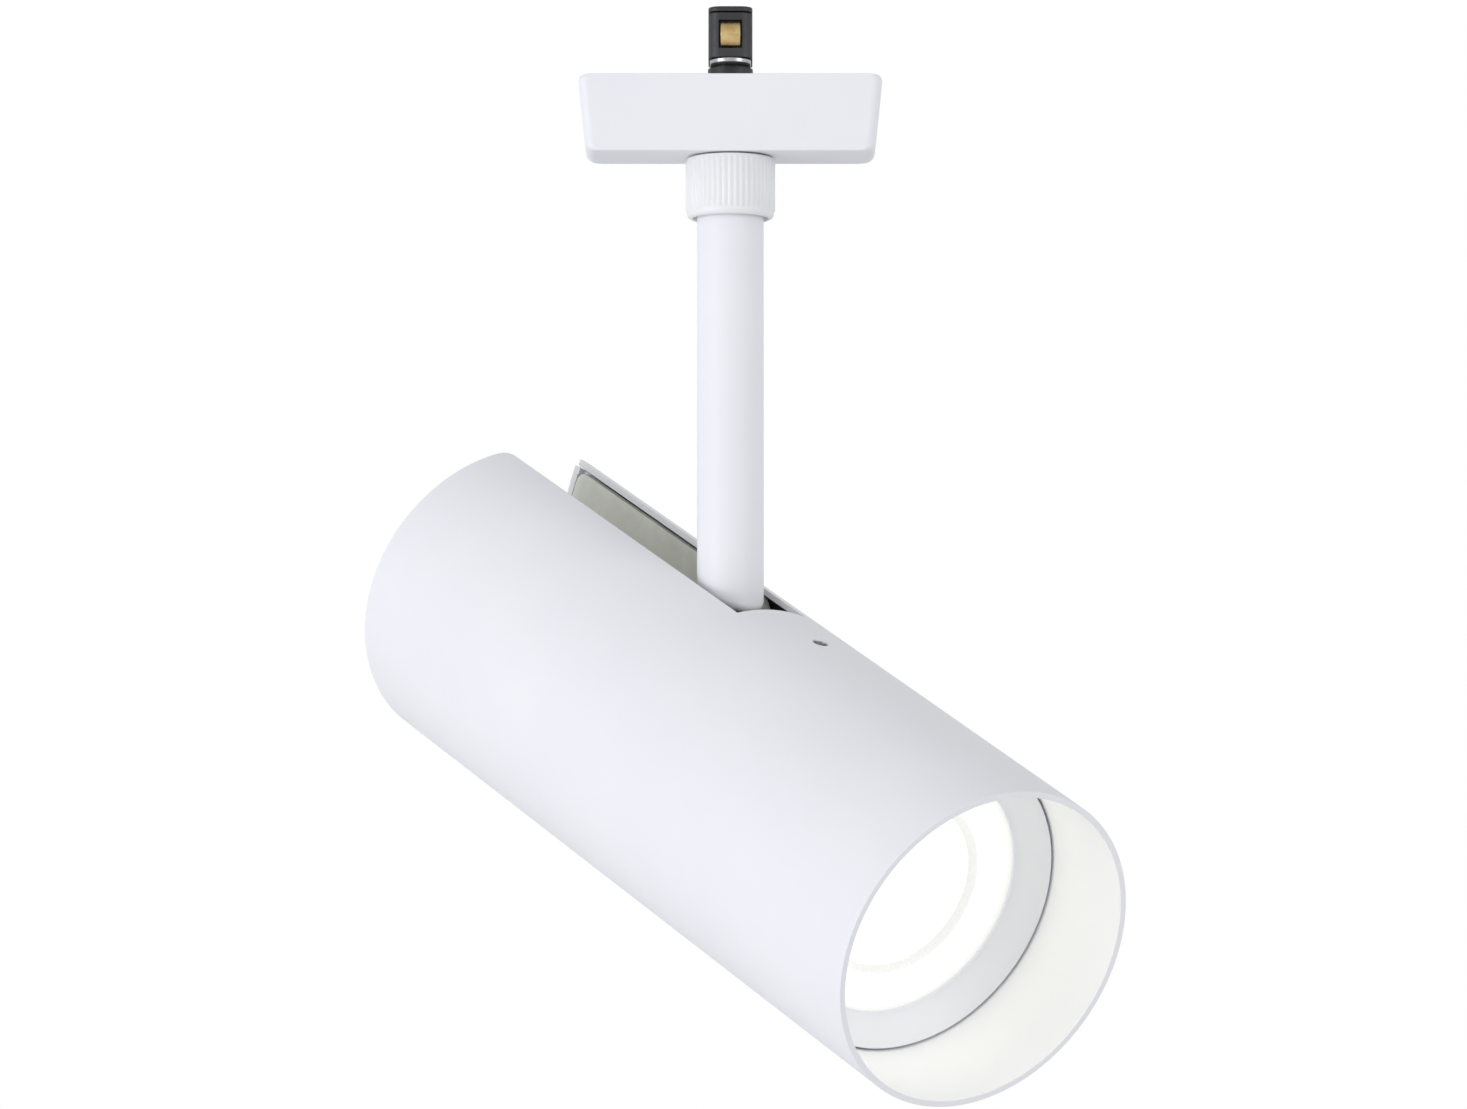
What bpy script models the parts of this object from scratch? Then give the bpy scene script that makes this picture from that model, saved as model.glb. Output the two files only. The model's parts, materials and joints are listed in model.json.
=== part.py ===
"""A track spotlight: a turn-to-lock track adapter, a swivelling stem, and a slotted tubular head
that tilts on a pivot inside its own channel and holds a 50 mm twist-in reflector lamp.

Metres, +Z up. The origin is the centre of the adapter's seat on the underside of the track, on the
swivel axis, and +X runs along the track. The head is posed turned and tilted, as in everyday use."""

import math

import bmesh
import bpy
from mathutils import Euler, Matrix, Vector

MM = 0.001
GAP = 0.3 * MM

# Driving dimensions. The head is sized round its lamp, and most of the rest follows from the head.
LAMP_RADIUS = 25.0 * MM
HEAD_RADIUS = 1.28 * LAMP_RADIUS
HEAD_LENGTH = 5.43 * HEAD_RADIUS
HEAD_WALL = 1.2 * MM
HEAD_YAW = math.radians(-53.0)
HEAD_TILT = math.radians(26.8)
AXIS_DEPTH = 4.18 * HEAD_RADIUS

# Head: distances along its axis are negative behind the front rim, heights are above the axis.
HEAD_BORE = HEAD_RADIUS - HEAD_WALL
SLOT_HALF_WIDTH = 0.26 * HEAD_RADIUS
SLOT_CORNER = 2.5 * MM
SLOT_FRONT = -2.76 * HEAD_RADIUS
PIVOT_HEIGHT = 0.6 * HEAD_RADIUS
PIVOT_ALONG = SLOT_FRONT - 0.28 * HEAD_RADIUS
GRUB_ALONG = -2.24 * HEAD_RADIUS
GRUB_HOLE_RADIUS = 1.6 * MM

# Stem, with its foot on the pivot.
STEM_RADIUS = 0.406 * HEAD_RADIUS / 2
STEM_RADIUS_INNER = STEM_RADIUS - 2.3 * MM
STEM_TOP = -21.6 * MM
PIVOT_DEPTH = AXIS_DEPTH - PIVOT_HEIGHT / math.cos(HEAD_TILT)
FOOT_CUT_HEIGHT = 9.0 * MM
TONGUE_RADIUS = 5.0 * MM
TONGUE_HALF_WIDTH = 4.2 * MM
CABLE_RADIUS = 1.7 * MM
CORE_RADIUS = 0.6 * MM
LEAD_HOLE_RADIUS = CORE_RADIUS + GAP
PASSAGE_RADIUS = 2.6 * MM

# Channel bracket and rear cap.
SHEET = 1.2 * MM
CHANNEL_INNER = SLOT_HALF_WIDTH + 0.2 * MM
CHANNEL_OUTER = CHANNEL_INNER + SHEET
CHANNEL_FLOOR = 12.0 * MM
CHANNEL_TOP = 0.9 * HEAD_RADIUS
CHANNEL_CORNER = 2.6 * MM
CAP_THICKNESS = 1.6 * MM
CAP_FRONT = -HEAD_LENGTH + CAP_THICKNESS
CHANNEL_REAR = CAP_FRONT + 0.6 * MM
CHANNEL_FRONT = SLOT_FRONT + 2.3 * MM
STRAP_HALF_WIDTH = 5.0 * MM
STEP = 0.01 * MM  # keeps the faces of joined blocks from coinciding
EARTH_SCREW_HEIGHT = 23.0 * MM
EARTH_LEAD_HEIGHT = 16.6 * MM
CAP_SCREW_SIDE = 11.0 * MM
CAP_SCREW_HEIGHT = 3.0 * MM

# Lamp, its holder and its retaining ring.
LAMP_FACE = -27.2 * MM
LAMP_BASE = LAMP_FACE - 49.8 * MM
LENS_RADIUS = LAMP_RADIUS - 1.1 * MM
PIN_SPACING = 10.0 * MM
PIN_HEAD_RADIUS = 2.5 * MM
PIN_END = LAMP_BASE - 7.6 * MM
TWIST = math.radians(15.0)
HOLDER_FRONT = LAMP_BASE - 0.4 * MM
HOLDER_LENGTH = 17.6 * MM
HOLDER_REAR = HOLDER_FRONT - HOLDER_LENGTH
HOLDER_HALF_WIDTH = 13.5 * MM
HOLDER_HALF_HEIGHT = 8.0 * MM
HOLDER_SCREW_SIDE = 9.5 * MM
LEAD_ALONG = -90.8 * MM
LEAD_SIDE = 2.0 * MM
RING_FRONT = -22.0 * MM
RING_RADIUS = HEAD_BORE - 0.4 * MM
SNAP_ALONG = -30.0 * MM

# Adapter housing: it narrows downwards from the seat.
HOUSING_HEIGHT = 15.0 * MM
HOUSING_TOP = (1.856 * HEAD_RADIUS, 19.6 * MM)
HOUSING_BOTTOM = (1.76 * HEAD_RADIUS, 17.2 * MM)
HOUSING_CORNER = 1.9 * MM
HOUSING_TOP_ROUND = 1.5 * MM
HOUSING_END_ROUND = 1.7 * MM
HOUSING_FRONT_ROUND = 0.35 * MM
HOUSING_WALL = 1.4 * MM
HOUSING_END_WALL = 3.0 * MM
HOUSING_FLOOR = 1.6 * MM
COVER_THICKNESS = 1.6 * MM
COVER_SCREW_X = 21.0 * MM
SHAFT_BORE = 6.6 * MM

# Turning parts: the ribbed ring, its shaft and the insert that locks in the track.
SHAFT_RADIUS = SHAFT_BORE - GAP
HUB_RADIUS = 5.9 * MM
CAVITY_RADIUS = 5.1 * MM
SPINDLE_RADIUS = STEM_RADIUS_INNER - GAP
RING_TOP = -HOUSING_HEIGHT - GAP
LOCK_RING_HEIGHT = 11.9 * MM
LOCK_RING_RADIUS = 8.5 * MM
LOCK_RING_BOTTOM = RING_TOP - LOCK_RING_HEIGHT
RIBS = 48
RIB_HEIGHT = 0.25 * MM
INSERT_HALF_LENGTH = 7.2 * MM
INSERT_HALF_WIDTH = 4.3 * MM
INSERT_BOTTOM = 3.7 * MM
INSERT_TOP = 12.4 * MM
WIRE_BORE = 2.5 * MM
SPINDLE_FLANGE_TOP = -7.6 * MM
SPINDLE_FLANGE_BOTTOM = -9.0 * MM
STOP_HALF_WIDTH = 0.5 * MM

FINE = 60
MEDIUM = 48
ROUND = 32
SMALL = 20

WHITE_COAT = ("white_coat", (0.84, 0.84, 0.86), 0.45, 0.0)
WHITE_PLASTIC = ("white_plastic", (0.82, 0.82, 0.83), 0.4, 0.0)
BLACK_PLASTIC = ("black_plastic", (0.03, 0.03, 0.03), 0.5, 0.0)
ZINC_SHEET = ("zinc_sheet", (0.42, 0.43, 0.39), 0.45, 0.9)
BRIGHT_STEEL = ("bright_steel", (0.62, 0.62, 0.62), 0.3, 1.0)
BRASS = ("brass", (0.78, 0.6, 0.28), 0.3, 1.0)
CERAMIC = ("ceramic", (0.85, 0.83, 0.78), 0.6, 0.0)
LENS = ("lens", (0.95, 0.95, 0.93), 0.2, 0.0)
BOARD = ("led_board", (0.9, 0.85, 0.55), 0.5, 0.0)
CABLE_SHEATH = ("cable_sheath", (0.75, 0.75, 0.75), 0.5, 0.0)
BROWN_CORE = ("brown_core", (0.2, 0.07, 0.03), 0.5, 0.0)
BLUE_CORE = ("blue_core", (0.02, 0.1, 0.5), 0.5, 0.0)
EARTH_CORE = ("earth_core", (0.25, 0.5, 0.05), 0.5, 0.0)


# ---- Scene and materials ----


def clear_scene():
    for obj in list(bpy.data.objects):
        bpy.data.objects.remove(obj, do_unlink=True)


def new_collection(name, hidden):
    collection = bpy.data.collections.new(name)
    collection.hide_render = hidden
    bpy.context.scene.collection.children.link(collection)
    return collection


def material(look):
    name, colour, roughness, metallic = look
    made = bpy.data.materials.get(name)
    if made:
        return made
    made = bpy.data.materials.new(name)
    made.use_nodes = True
    shader = made.node_tree.nodes["Principled BSDF"]
    shader.inputs["Base Color"].default_value = (*colour, 1.0)
    shader.inputs["Roughness"].default_value = roughness
    shader.inputs["Metallic"].default_value = metallic
    made.diffuse_color = (*colour, 1.0)
    return made


# ---- Placing and shaping ----


def place(obj, look, parent, location=(0, 0, 0), rotation=(0, 0, 0)):
    """Puts an object in the model, or among the cutters when it has no look."""
    obj.location = location
    obj.rotation_euler = rotation
    obj.parent = parent
    if look:
        PARTS.objects.link(obj)
        obj.data.materials.append(material(look))
    else:
        CUTTERS.objects.link(obj)
        obj.hide_render = True
        obj.display_type = "WIRE"
    return obj


def smooth(mesh):
    mesh.shade_smooth()
    mesh.set_sharp_from_angle(angle=math.radians(35))


def empty(name, parent, location, rotation=(0, 0, 0)):
    obj = bpy.data.objects.new(name, None)
    obj.empty_display_size = 10 * MM
    obj.location = location
    obj.rotation_euler = rotation
    obj.parent = parent
    PARTS.objects.link(obj)
    return obj


def turned(name, look, parent, profile, steps=ROUND, along_x=False, location=(0, 0, 0), closed=True):
    """A profile of (radius, height) turned round the axis. It runs down its outer side.
    With along_x the axis points along the parent's X, and heights count along it."""
    mesh = bpy.data.meshes.new(name)
    ends = [(i, i + 1) for i in range(len(profile) - 1)]
    if closed:
        ends.append((len(profile) - 1, 0))
    mesh.from_pydata([(radius, 0, height) for radius, height in profile], ends, [])
    obj = bpy.data.objects.new(name, mesh)
    screw = obj.modifiers.new("turn", "SCREW")
    screw.steps = screw.render_steps = steps
    screw.use_merge_vertices = True
    screw.merge_threshold = 0.000005
    screw.use_smooth_shade = False
    rotation = (0, math.pi / 2, 0) if along_x else (0, 0, 0)
    return place(obj, look, parent, location, rotation)


def rod(name, look, parent, radius, start, end, steps=SMALL):
    """A cylinder between two points."""
    start = Vector(start)
    end = Vector(end)
    length = (end - start).length
    bm = bmesh.new()
    bmesh.ops.create_cone(
        bm, cap_ends=True, segments=steps, radius1=radius, radius2=radius, depth=length
    )
    mesh = bpy.data.meshes.new(name)
    bm.to_mesh(mesh)
    bm.free()
    smooth(mesh)
    turn = (end - start).to_track_quat("Z", "Y").to_euler()
    return place(bpy.data.objects.new(name, mesh), look, parent, (start + end) / 2, turn)


def block(name, look, parent, low, high, corner=0.0, turn=0.0, segments=3):
    """A box between two corners, its upright edges rounded by corner, turned about the origin's Z."""
    low = Vector(low)
    high = Vector(high)
    bm = bmesh.new()
    bmesh.ops.create_cube(bm, size=1.0)
    bmesh.ops.scale(bm, vec=high - low, verts=bm.verts)
    if corner:
        upright = [e for e in bm.edges if abs(e.verts[0].co.z - e.verts[1].co.z) > corner]
        bmesh.ops.bevel(bm, geom=upright, offset=corner, segments=segments, profile=0.5, affect="EDGES")
    mesh = bpy.data.meshes.new(name)
    bm.to_mesh(mesh)
    bm.free()
    centre = Matrix.Rotation(turn, 3, "Z") @ ((low + high) / 2)
    return place(bpy.data.objects.new(name, mesh), look, parent, centre, (0, 0, turn))


def plate(name, look, parent, outlines, thickness, location=(0, 0, 0), rotation=(0, 0, 0)):
    """A flat piece: the first outline is its edge and any others are holes, thick along local Z."""
    curve = bpy.data.curves.new(name + "_outline", "CURVE")
    curve.dimensions = "2D"
    curve.fill_mode = "BOTH"
    curve.extrude = thickness / 2
    for outline in outlines:
        spline = curve.splines.new("POLY")
        spline.points.add(len(outline) - 1)
        spline.use_cyclic_u = True
        for point, (x, y) in zip(spline.points, outline):
            point.co = (x, y, 0, 1)
    return place(as_mesh(name, curve), look, parent, location, rotation)


def wire(name, look, parent, points, radius, sides=2):
    """A round wire through the points, with closed ends."""
    curve = bpy.data.curves.new(name + "_path", "CURVE")
    curve.dimensions = "3D"
    curve.bevel_depth = radius
    curve.bevel_resolution = sides
    curve.use_fill_caps = True
    spline = curve.splines.new("POLY")
    spline.points.add(len(points) - 1)
    for point, place_at in zip(spline.points, points):
        point.co = (*place_at, 1)
    return place(as_mesh(name, curve), look, parent)


def as_mesh(name, curve):
    """The curve's evaluated surface as one welded mesh object."""
    source = bpy.data.objects.new(name + "_source", curve)
    bpy.context.scene.collection.objects.link(source)
    graph = bpy.context.evaluated_depsgraph_get()
    mesh = bpy.data.meshes.new_from_object(source.evaluated_get(graph))
    bpy.data.objects.remove(source, do_unlink=True)
    bm = bmesh.new()
    bm.from_mesh(mesh)
    bmesh.ops.remove_doubles(bm, verts=bm.verts, dist=0.000002)
    bmesh.ops.recalc_face_normals(bm, faces=bm.faces)
    bm.to_mesh(mesh)
    bm.free()
    mesh.materials.clear()
    smooth(mesh)
    return bpy.data.objects.new(name, mesh)


def boolean(obj, others, operation):
    for other in others:
        modifier = obj.modifiers.new(other.name, "BOOLEAN")
        modifier.operation = operation
        modifier.object = other
    return obj


def cut(obj, *cutters):
    return boolean(obj, cutters, "DIFFERENCE")


def join(obj, *others):
    return boolean(obj, others, "UNION")


def circle(radius, steps=SMALL):
    angles = [math.tau * i / steps for i in range(steps)]
    return [(radius * math.cos(a), radius * math.sin(a)) for a in angles]


def arc(radius, start, end, steps, centre=(0.0, 0.0)):
    """Points from one angle to the other, both ends included."""
    angles = [start + (end - start) * i / steps for i in range(steps + 1)]
    return [(centre[0] + radius * math.cos(a), centre[1] + radius * math.sin(a)) for a in angles]


def bezier(points, steps):
    """Points along a smooth curve through the given ones."""
    knots = [Vector(p) for p in points]
    slopes = [(knots[min(i + 1, len(knots) - 1)] - knots[max(i - 1, 0)]) / 2 for i in range(len(knots))]
    path = [knots[0]]
    for i in range(len(knots) - 1):
        for step in range(1, steps + 1):
            t = step / steps
            here = knots[i] * (2 * t**3 - 3 * t**2 + 1) + knots[i + 1] * (3 * t**2 - 2 * t**3)
            path.append(here + slopes[i] * (t**3 - 2 * t**2 + t) + slopes[i + 1] * (t**3 - t**2))
    return path


# ---- Adapter ----


def housing_size(z, insets):
    """Outer width and depth of the housing at height z, less an inset at each end and side."""
    share = 1 + z / HOUSING_HEIGHT
    ends = zip(HOUSING_BOTTOM, HOUSING_TOP, insets)
    return [low + (high - low) * share - 2 * inset for low, high, inset in ends]


def fillet(radius, rise):
    """How far an edge rounded by radius draws in, at this rise above the face it ends in."""
    if rise >= radius:
        return 0.0
    return radius - math.sqrt(radius**2 - (radius - rise) ** 2)


def rounded_rectangle(width, depth, corner, z):
    """Points round a rectangle with rounded corners."""
    points = []
    for side_x, side_y, quarter in ((1, 1, 0), (-1, 1, 1), (-1, -1, 2), (1, -1, 3)):
        centre = (side_x * (width / 2 - corner), side_y * (depth / 2 - corner))
        start = quarter * math.pi / 2
        points += [Vector((x, y, z)) for x, y in arc(corner, start, start + math.pi / 2, 4, centre)]
    return points


def stacked(name, look, rings):
    """A solid through rings of points, from its bottom face to its top face."""
    size = len(rings[0])
    faces = [tuple(reversed(range(size)))]
    for low in range(0, size * (len(rings) - 1), size):
        for i in range(size):
            following = (i + 1) % size
            faces.append((low + i, low + following, low + size + following, low + size + i))
    top = size * (len(rings) - 1)
    faces.append(tuple(range(top, top + size)))
    mesh = bpy.data.meshes.new(name)
    mesh.from_pydata([point for ring in rings for point in ring], [], faces)
    smooth(mesh)
    return place(bpy.data.objects.new(name, mesh), look, None)


def tapered_box(name, look, insets, z_bottom, z_top, corner, end_round, front_round, top_round=0.0):
    """A box whose sides follow the housing's taper, with rounded corners. Its lower edges are rounded
    by end_round at its two ends and by front_round along its length, its upper ones by top_round at
    the two ends alone."""
    tall = z_top - z_bottom
    rises = [0, front_round, 0.35 * end_round, 0.65 * end_round, end_round]
    if top_round:
        rises += [tall - share * top_round for share in (1.0, 0.6, 0.25)]
    rings = []
    for rise in (*rises, tall):
        width, depth = housing_size(z_bottom + rise, insets)
        width -= 2 * fillet(end_round, rise) + 2 * fillet(top_round, tall - rise)
        depth -= 2 * fillet(front_round, rise)
        rings.append(rounded_rectangle(width, depth, corner, z_bottom + rise))
    return stacked(name, look, rings)


def adapter_housing():
    bottom = -HOUSING_HEIGHT
    floor = bottom + HOUSING_FLOOR
    housing = tapered_box(
        "adapter_housing",
        WHITE_COAT,
        (0, 0),
        bottom,
        0.0,
        HOUSING_CORNER,
        HOUSING_END_ROUND,
        HOUSING_FRONT_ROUND,
        HOUSING_TOP_ROUND,
    )
    walls = (HOUSING_END_WALL, HOUSING_WALL)
    hollow = tapered_box("housing_hollow", None, walls, floor, 1 * MM, 0.9 * MM, 0.6 * MM, 0.2 * MM)
    cut(housing, hollow)
    for side in (-1, 1):
        x = side * COVER_SCREW_X
        boss_low = -HOUSING_HEIGHT + HOUSING_FLOOR / 2
        boss = rod("screw_boss", None, None, 2.7 * MM, (x, 0, boss_low), (x, 0, -COVER_THICKNESS - GAP))
        pilot = rod("screw_pilot", None, None, 1.2 * MM, (x, 0, -9.5 * MM), (x, 0, 0), 16)
        join(housing, boss)
        cut(housing, pilot)
    bore = rod("floor_bore", None, None, SHAFT_BORE, (0, 0, -20 * MM), (0, 0, -10 * MM), ROUND)
    return cut(housing, bore)


def adapter_cover():
    width, depth = housing_size(-COVER_THICKNESS, (HOUSING_END_WALL + GAP, HOUSING_WALL + GAP))
    cover = block(
        "adapter_cover",
        WHITE_PLASTIC,
        None,
        (-width / 2, -depth / 2, -COVER_THICKNESS),
        (width / 2, depth / 2, 0),
        corner=1.2 * MM,
    )
    cut(cover, rod("cover_bore", None, None, SHAFT_BORE, (0, 0, -4 * MM), (0, 0, 4 * MM), ROUND))
    through = -4 * MM
    sink = [(0, 0.5 * MM), (3.2 * MM, 0.5 * MM), (1.5 * MM, -1.2 * MM), (1.5 * MM, through), (0, through)]
    for side in (-1, 1):
        x = side * COVER_SCREW_X
        cut(cover, turned("cover_sink", None, None, sink, SMALL, location=(x, 0, 0), closed=False))
    return cover


def countersunk_screw(name, parent, head, shank, length, along_x=False, location=(0, 0, 0)):
    """A countersunk screw whose head lies at height 0, with a hexagonal socket."""
    profile = [
        (0, 0),
        (head, 0),
        (head, -0.15 * MM),
        (shank, -0.15 * MM - (head - shank)),
        (shank, -length),
        (0, -length),
    ]
    screw = turned(name, BRIGHT_STEEL, parent, profile, 20, along_x, location, closed=False)
    depth = Vector((0.8 * MM, 0, 0)) if along_x else Vector((0, 0, 0.8 * MM))
    centre = Vector(location)
    socket = rod(name + "_socket", None, parent, 0.45 * head, centre - depth, centre + depth, 6)
    return cut(screw, socket)


def cover_screws():
    for side, word in ((-1, "left"), (1, "right")):
        centre = (side * COVER_SCREW_X, 0, -0.2 * MM)
        countersunk_screw("cover_screw_" + word, None, 2.2 * MM, 0.9 * MM, 8.5 * MM, location=centre)


# ---- Turning lock ----


def rotor_shaft():
    shoulder = -COVER_THICKNESS - GAP
    profile = [
        (7.0 * MM, shoulder),
        (7.0 * MM, shoulder - 1.4 * MM),
        (SHAFT_RADIUS, shoulder - 1.4 * MM),
        (SHAFT_RADIUS, RING_TOP + GAP / 2),
        (HUB_RADIUS, RING_TOP + GAP / 2),
        (HUB_RADIUS, -18.4 * MM),
        (HUB_RADIUS - 0.6 * MM, -18.4 * MM),
        (HUB_RADIUS - 0.6 * MM, -19.4 * MM),
        (HUB_RADIUS, -19.4 * MM),
        (HUB_RADIUS, -20.4 * MM),
        (SPINDLE_RADIUS + GAP, -20.4 * MM),
        (SPINDLE_RADIUS + GAP, -10.0 * MM),
        (CAVITY_RADIUS, -10.0 * MM),
        (CAVITY_RADIUS, shoulder),
    ]
    shaft = turned("rotor_shaft", BLACK_PLASTIC, None, profile)
    for turn in (0, math.pi):
        low = (HUB_RADIUS - 0.5 * MM, -1 * MM, -18.0 * MM)
        high = (HUB_RADIUS + 1.0 * MM, 1 * MM, RING_TOP - 0.15 * MM)
        join(shaft, block("ring_key", None, None, low, high, turn=turn))
    low = (HUB_RADIUS - 0.1 * MM, -1 * MM, -9 * MM)
    high = (9.6 * MM, 1 * MM, -6 * MM)
    arm = block("stop_arm", None, None, low, high, turn=-math.pi / 4)
    stop = block(
        "swivel_stop",
        None,
        None,
        (3.9 * MM, -STOP_HALF_WIDTH, SPINDLE_FLANGE_TOP + GAP),
        (5.5 * MM, STOP_HALF_WIDTH, -4.3 * MM),
        turn=math.pi / 2,
    )
    return join(shaft, arm, stop)


def contact_insert():
    neck = [
        (3.7 * MM, 5.0 * MM),
        (3.7 * MM, 2.3 * MM),
        (4.4 * MM, 2.3 * MM),
        (4.4 * MM, -0.1 * MM),
        (6.2 * MM, -0.1 * MM),
        (6.2 * MM, -1.6 * MM),
        (CAVITY_RADIUS - GAP, -1.6 * MM),
        (CAVITY_RADIUS - GAP, -3.9 * MM),
        (3.6 * MM, -3.9 * MM),
        (3.6 * MM, -1.9 * MM),
        (WIRE_BORE, -1.9 * MM),
        (WIRE_BORE, 5.0 * MM),
    ]
    insert = turned("contact_insert", BLACK_PLASTIC, None, neck, SMALL)
    head = block(
        "insert_head",
        None,
        None,
        (-INSERT_HALF_WIDTH, -INSERT_HALF_LENGTH, INSERT_BOTTOM),
        (INSERT_HALF_WIDTH, INSERT_HALF_LENGTH, INSERT_TOP),
        corner=2.5 * MM,
    )
    join(insert, head)
    well = block("insert_well", None, None, (-2.7 * MM, -4.4 * MM, 5.4 * MM), (2.7 * MM, 4.4 * MM, 14 * MM))
    riser = rod("wire_riser", None, None, WIRE_BORE, (0, 0, 0.5 * MM), (0, 0, 6 * MM))
    earth_start = (1.5 * MM, 0, 3 * MM)
    earth_hole = rod("earth_hole", None, None, LEAD_HOLE_RADIUS, earth_start, (5 * MM, 0, 3 * MM), 12)
    cut(insert, well, riser, earth_hole)
    for side in (-1, 1):
        low, high = sorted((side * 5.7 * MM, side * 9 * MM))
        pocket = block("contact_pocket", None, None, (-2.3 * MM, low, 5.4 * MM), (2.3 * MM, high, 11 * MM))
        start = (0, side * 4 * MM, 6.6 * MM)
        end = (0, side * 6 * MM, 6.6 * MM)
        hole = rod("lead_hole", None, None, LEAD_HOLE_RADIUS, start, end, 12)
        cut(insert, pocket, hole)
    return insert


def insert_cap():
    cap = block(
        "insert_cap",
        BLACK_PLASTIC,
        None,
        (-INSERT_HALF_WIDTH, -INSERT_HALF_LENGTH, INSERT_TOP + GAP),
        (INSERT_HALF_WIDTH, INSERT_HALF_LENGTH, INSERT_TOP + 1.3 * MM),
        corner=2.5 * MM,
    )
    plug = block("cap_plug", None, None, (-2.4 * MM, -4.1 * MM, 11.2 * MM), (2.4 * MM, 4.1 * MM, 13 * MM))
    return join(cap, plug)


def insert_contacts():
    """Bowed strips that press on the track's conductors, one at each end of the insert."""
    strip = 0.5 * MM
    heights = [(5.8 + 4.8 * i / 10) * MM for i in range(11)]
    bow = [1.5 * MM * math.sin(math.pi * i / 10) for i in range(11)]
    outer = [(6.4 * MM + b + strip, z) for b, z in zip(bow, heights)]
    inner = [(6.4 * MM + b, z) for b, z in zip(bow, heights)]
    outline = outer + inner[::-1]
    for side, word in ((1, "live"), (-1, "neutral")):
        rotation = Euler((math.pi / 2, 0, side * math.pi / 2))
        plate(word + "_contact", BRASS, None, [outline], 3.8 * MM, rotation=rotation)


def lock_plate():
    """The steel wings that carry the weight on the track's lips, and earth it."""
    end = 4.0 * MM
    far = 8.2 * MM - end
    outline = arc(end, 0, math.pi, 10, (0, far)) + arc(end, math.pi, math.tau, 10, (0, -far))
    plate("lock_plate", BRIGHT_STEEL, None, [outline, circle(3.95 * MM)], 0.8 * MM, (0, 0, 3.0 * MM))


def ring_clip():
    gap_angle = math.radians(35)
    outer = arc(7.0 * MM, gap_angle, math.tau - gap_angle, 26)
    inner = arc(HUB_RADIUS - 0.3 * MM, math.tau - gap_angle, gap_angle, 26)
    plate("ring_clip", BRIGHT_STEEL, None, [outer + inner], 0.6 * MM, (0, 0, -18.9 * MM))


def lock_ring():
    rim = 1.0 * MM
    profile = [
        (LOCK_RING_RADIUS - 0.4 * MM, RING_TOP),
        (LOCK_RING_RADIUS, RING_TOP - 0.4 * MM),
        (LOCK_RING_RADIUS, LOCK_RING_BOTTOM + rim),
        (LOCK_RING_RADIUS - 0.3 * rim, LOCK_RING_BOTTOM + 0.3 * rim),
        (LOCK_RING_RADIUS - rim, LOCK_RING_BOTTOM),
        (7.4 * MM, LOCK_RING_BOTTOM),
        (7.4 * MM, -18.2 * MM),
        (HUB_RADIUS + GAP, -18.2 * MM),
        (HUB_RADIUS + GAP, RING_TOP),
    ]
    ring = turned("lock_ring", WHITE_PLASTIC, None, profile)
    top = RING_TOP - 0.7 * MM
    bottom = LOCK_RING_BOTTOM + rim + 0.3 * MM
    ribbed = [
        (LOCK_RING_RADIUS + height) * Vector((math.cos(angle), math.sin(angle)))
        for i in range(RIBS)
        for height, angle in (
            (0.02 * MM, math.tau * i / RIBS),
            (RIB_HEIGHT, math.tau * (i + 0.5) / RIBS),
        )
    ]
    outlines = [ribbed, circle(LOCK_RING_RADIUS - 0.6 * MM, ROUND)]
    sleeve = plate("rib_sleeve", None, None, outlines, top - bottom, (0, 0, (top + bottom) / 2))
    join(ring, sleeve)
    for turn in (0, math.pi):
        low = (HUB_RADIUS - 1 * MM, -1.3 * MM, -19 * MM)
        high = (HUB_RADIUS + 1.3 * MM, 1.3 * MM, RING_TOP + 1 * MM)
        cut(ring, block("ring_keyway", None, None, low, high, turn=turn))
    return ring


def insert_leads():
    """The three cores, from the end of the stem's cable to the contacts and the lock plate."""
    low = -3.3 * MM
    for side, word, look in ((1, "live", BROWN_CORE), (-1, "neutral", BLUE_CORE)):
        y = side * 1.2 * MM
        route = [
            (0, y, low),
            (0, y, 1 * MM),
            (0, y, 4.6 * MM),
            (0, side * 2.6 * MM, 6.4 * MM),
            (0, side * 5.9 * MM, 6.6 * MM),
        ]
        wire("insert_lead_" + word, look, None, bezier(route, 4), CORE_RADIUS, 1)
    route = [
        (1.4 * MM, 0, low),
        (1.4 * MM, 0, 0),
        (1.5 * MM, 0, 2.0 * MM),
        (2.2 * MM, 0, 2.95 * MM),
        (3.6 * MM, 0, 3 * MM),
    ]
    wire("insert_lead_earth", EARTH_CORE, None, bezier(route, 4), CORE_RADIUS, 1)


# ---- Stem: its own frame turns with the head about the swivel axis ----


def swivel_spindle(stem):
    profile = [
        (CAVITY_RADIUS - 0.4 * MM, SPINDLE_FLANGE_TOP),
        (CAVITY_RADIUS - 0.4 * MM, SPINDLE_FLANGE_BOTTOM),
        (SPINDLE_RADIUS, SPINDLE_FLANGE_BOTTOM),
        (SPINDLE_RADIUS, -34 * MM),
        (WIRE_BORE, -34 * MM),
        (WIRE_BORE, SPINDLE_FLANGE_TOP),
    ]
    spindle = turned("swivel_spindle", BRIGHT_STEEL, stem, profile, SMALL)
    lug = block(
        "spindle_lug",
        None,
        stem,
        (3.4 * MM, -STOP_HALF_WIDTH, SPINDLE_FLANGE_BOTTOM + 0.5 * MM),
        (4.6 * MM, STOP_HALF_WIDTH, -4.8 * MM),
    )
    return join(spindle, lug)


def washer(name, look, parent, inner, outer, low, high):
    profile = [(outer, high), (outer, low), (inner, low), (inner, high)]
    return turned(name, look, parent, profile, SMALL)


def stem_washers(stem):
    washer("spindle_washer", BRASS, stem, SPINDLE_RADIUS + GAP, 4.8 * MM, -9.75 * MM, -9.3 * MM)
    washer("thrust_washer", WHITE_PLASTIC, stem, SPINDLE_RADIUS + GAP, 6.0 * MM, -21.3 * MM, -20.7 * MM)


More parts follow.
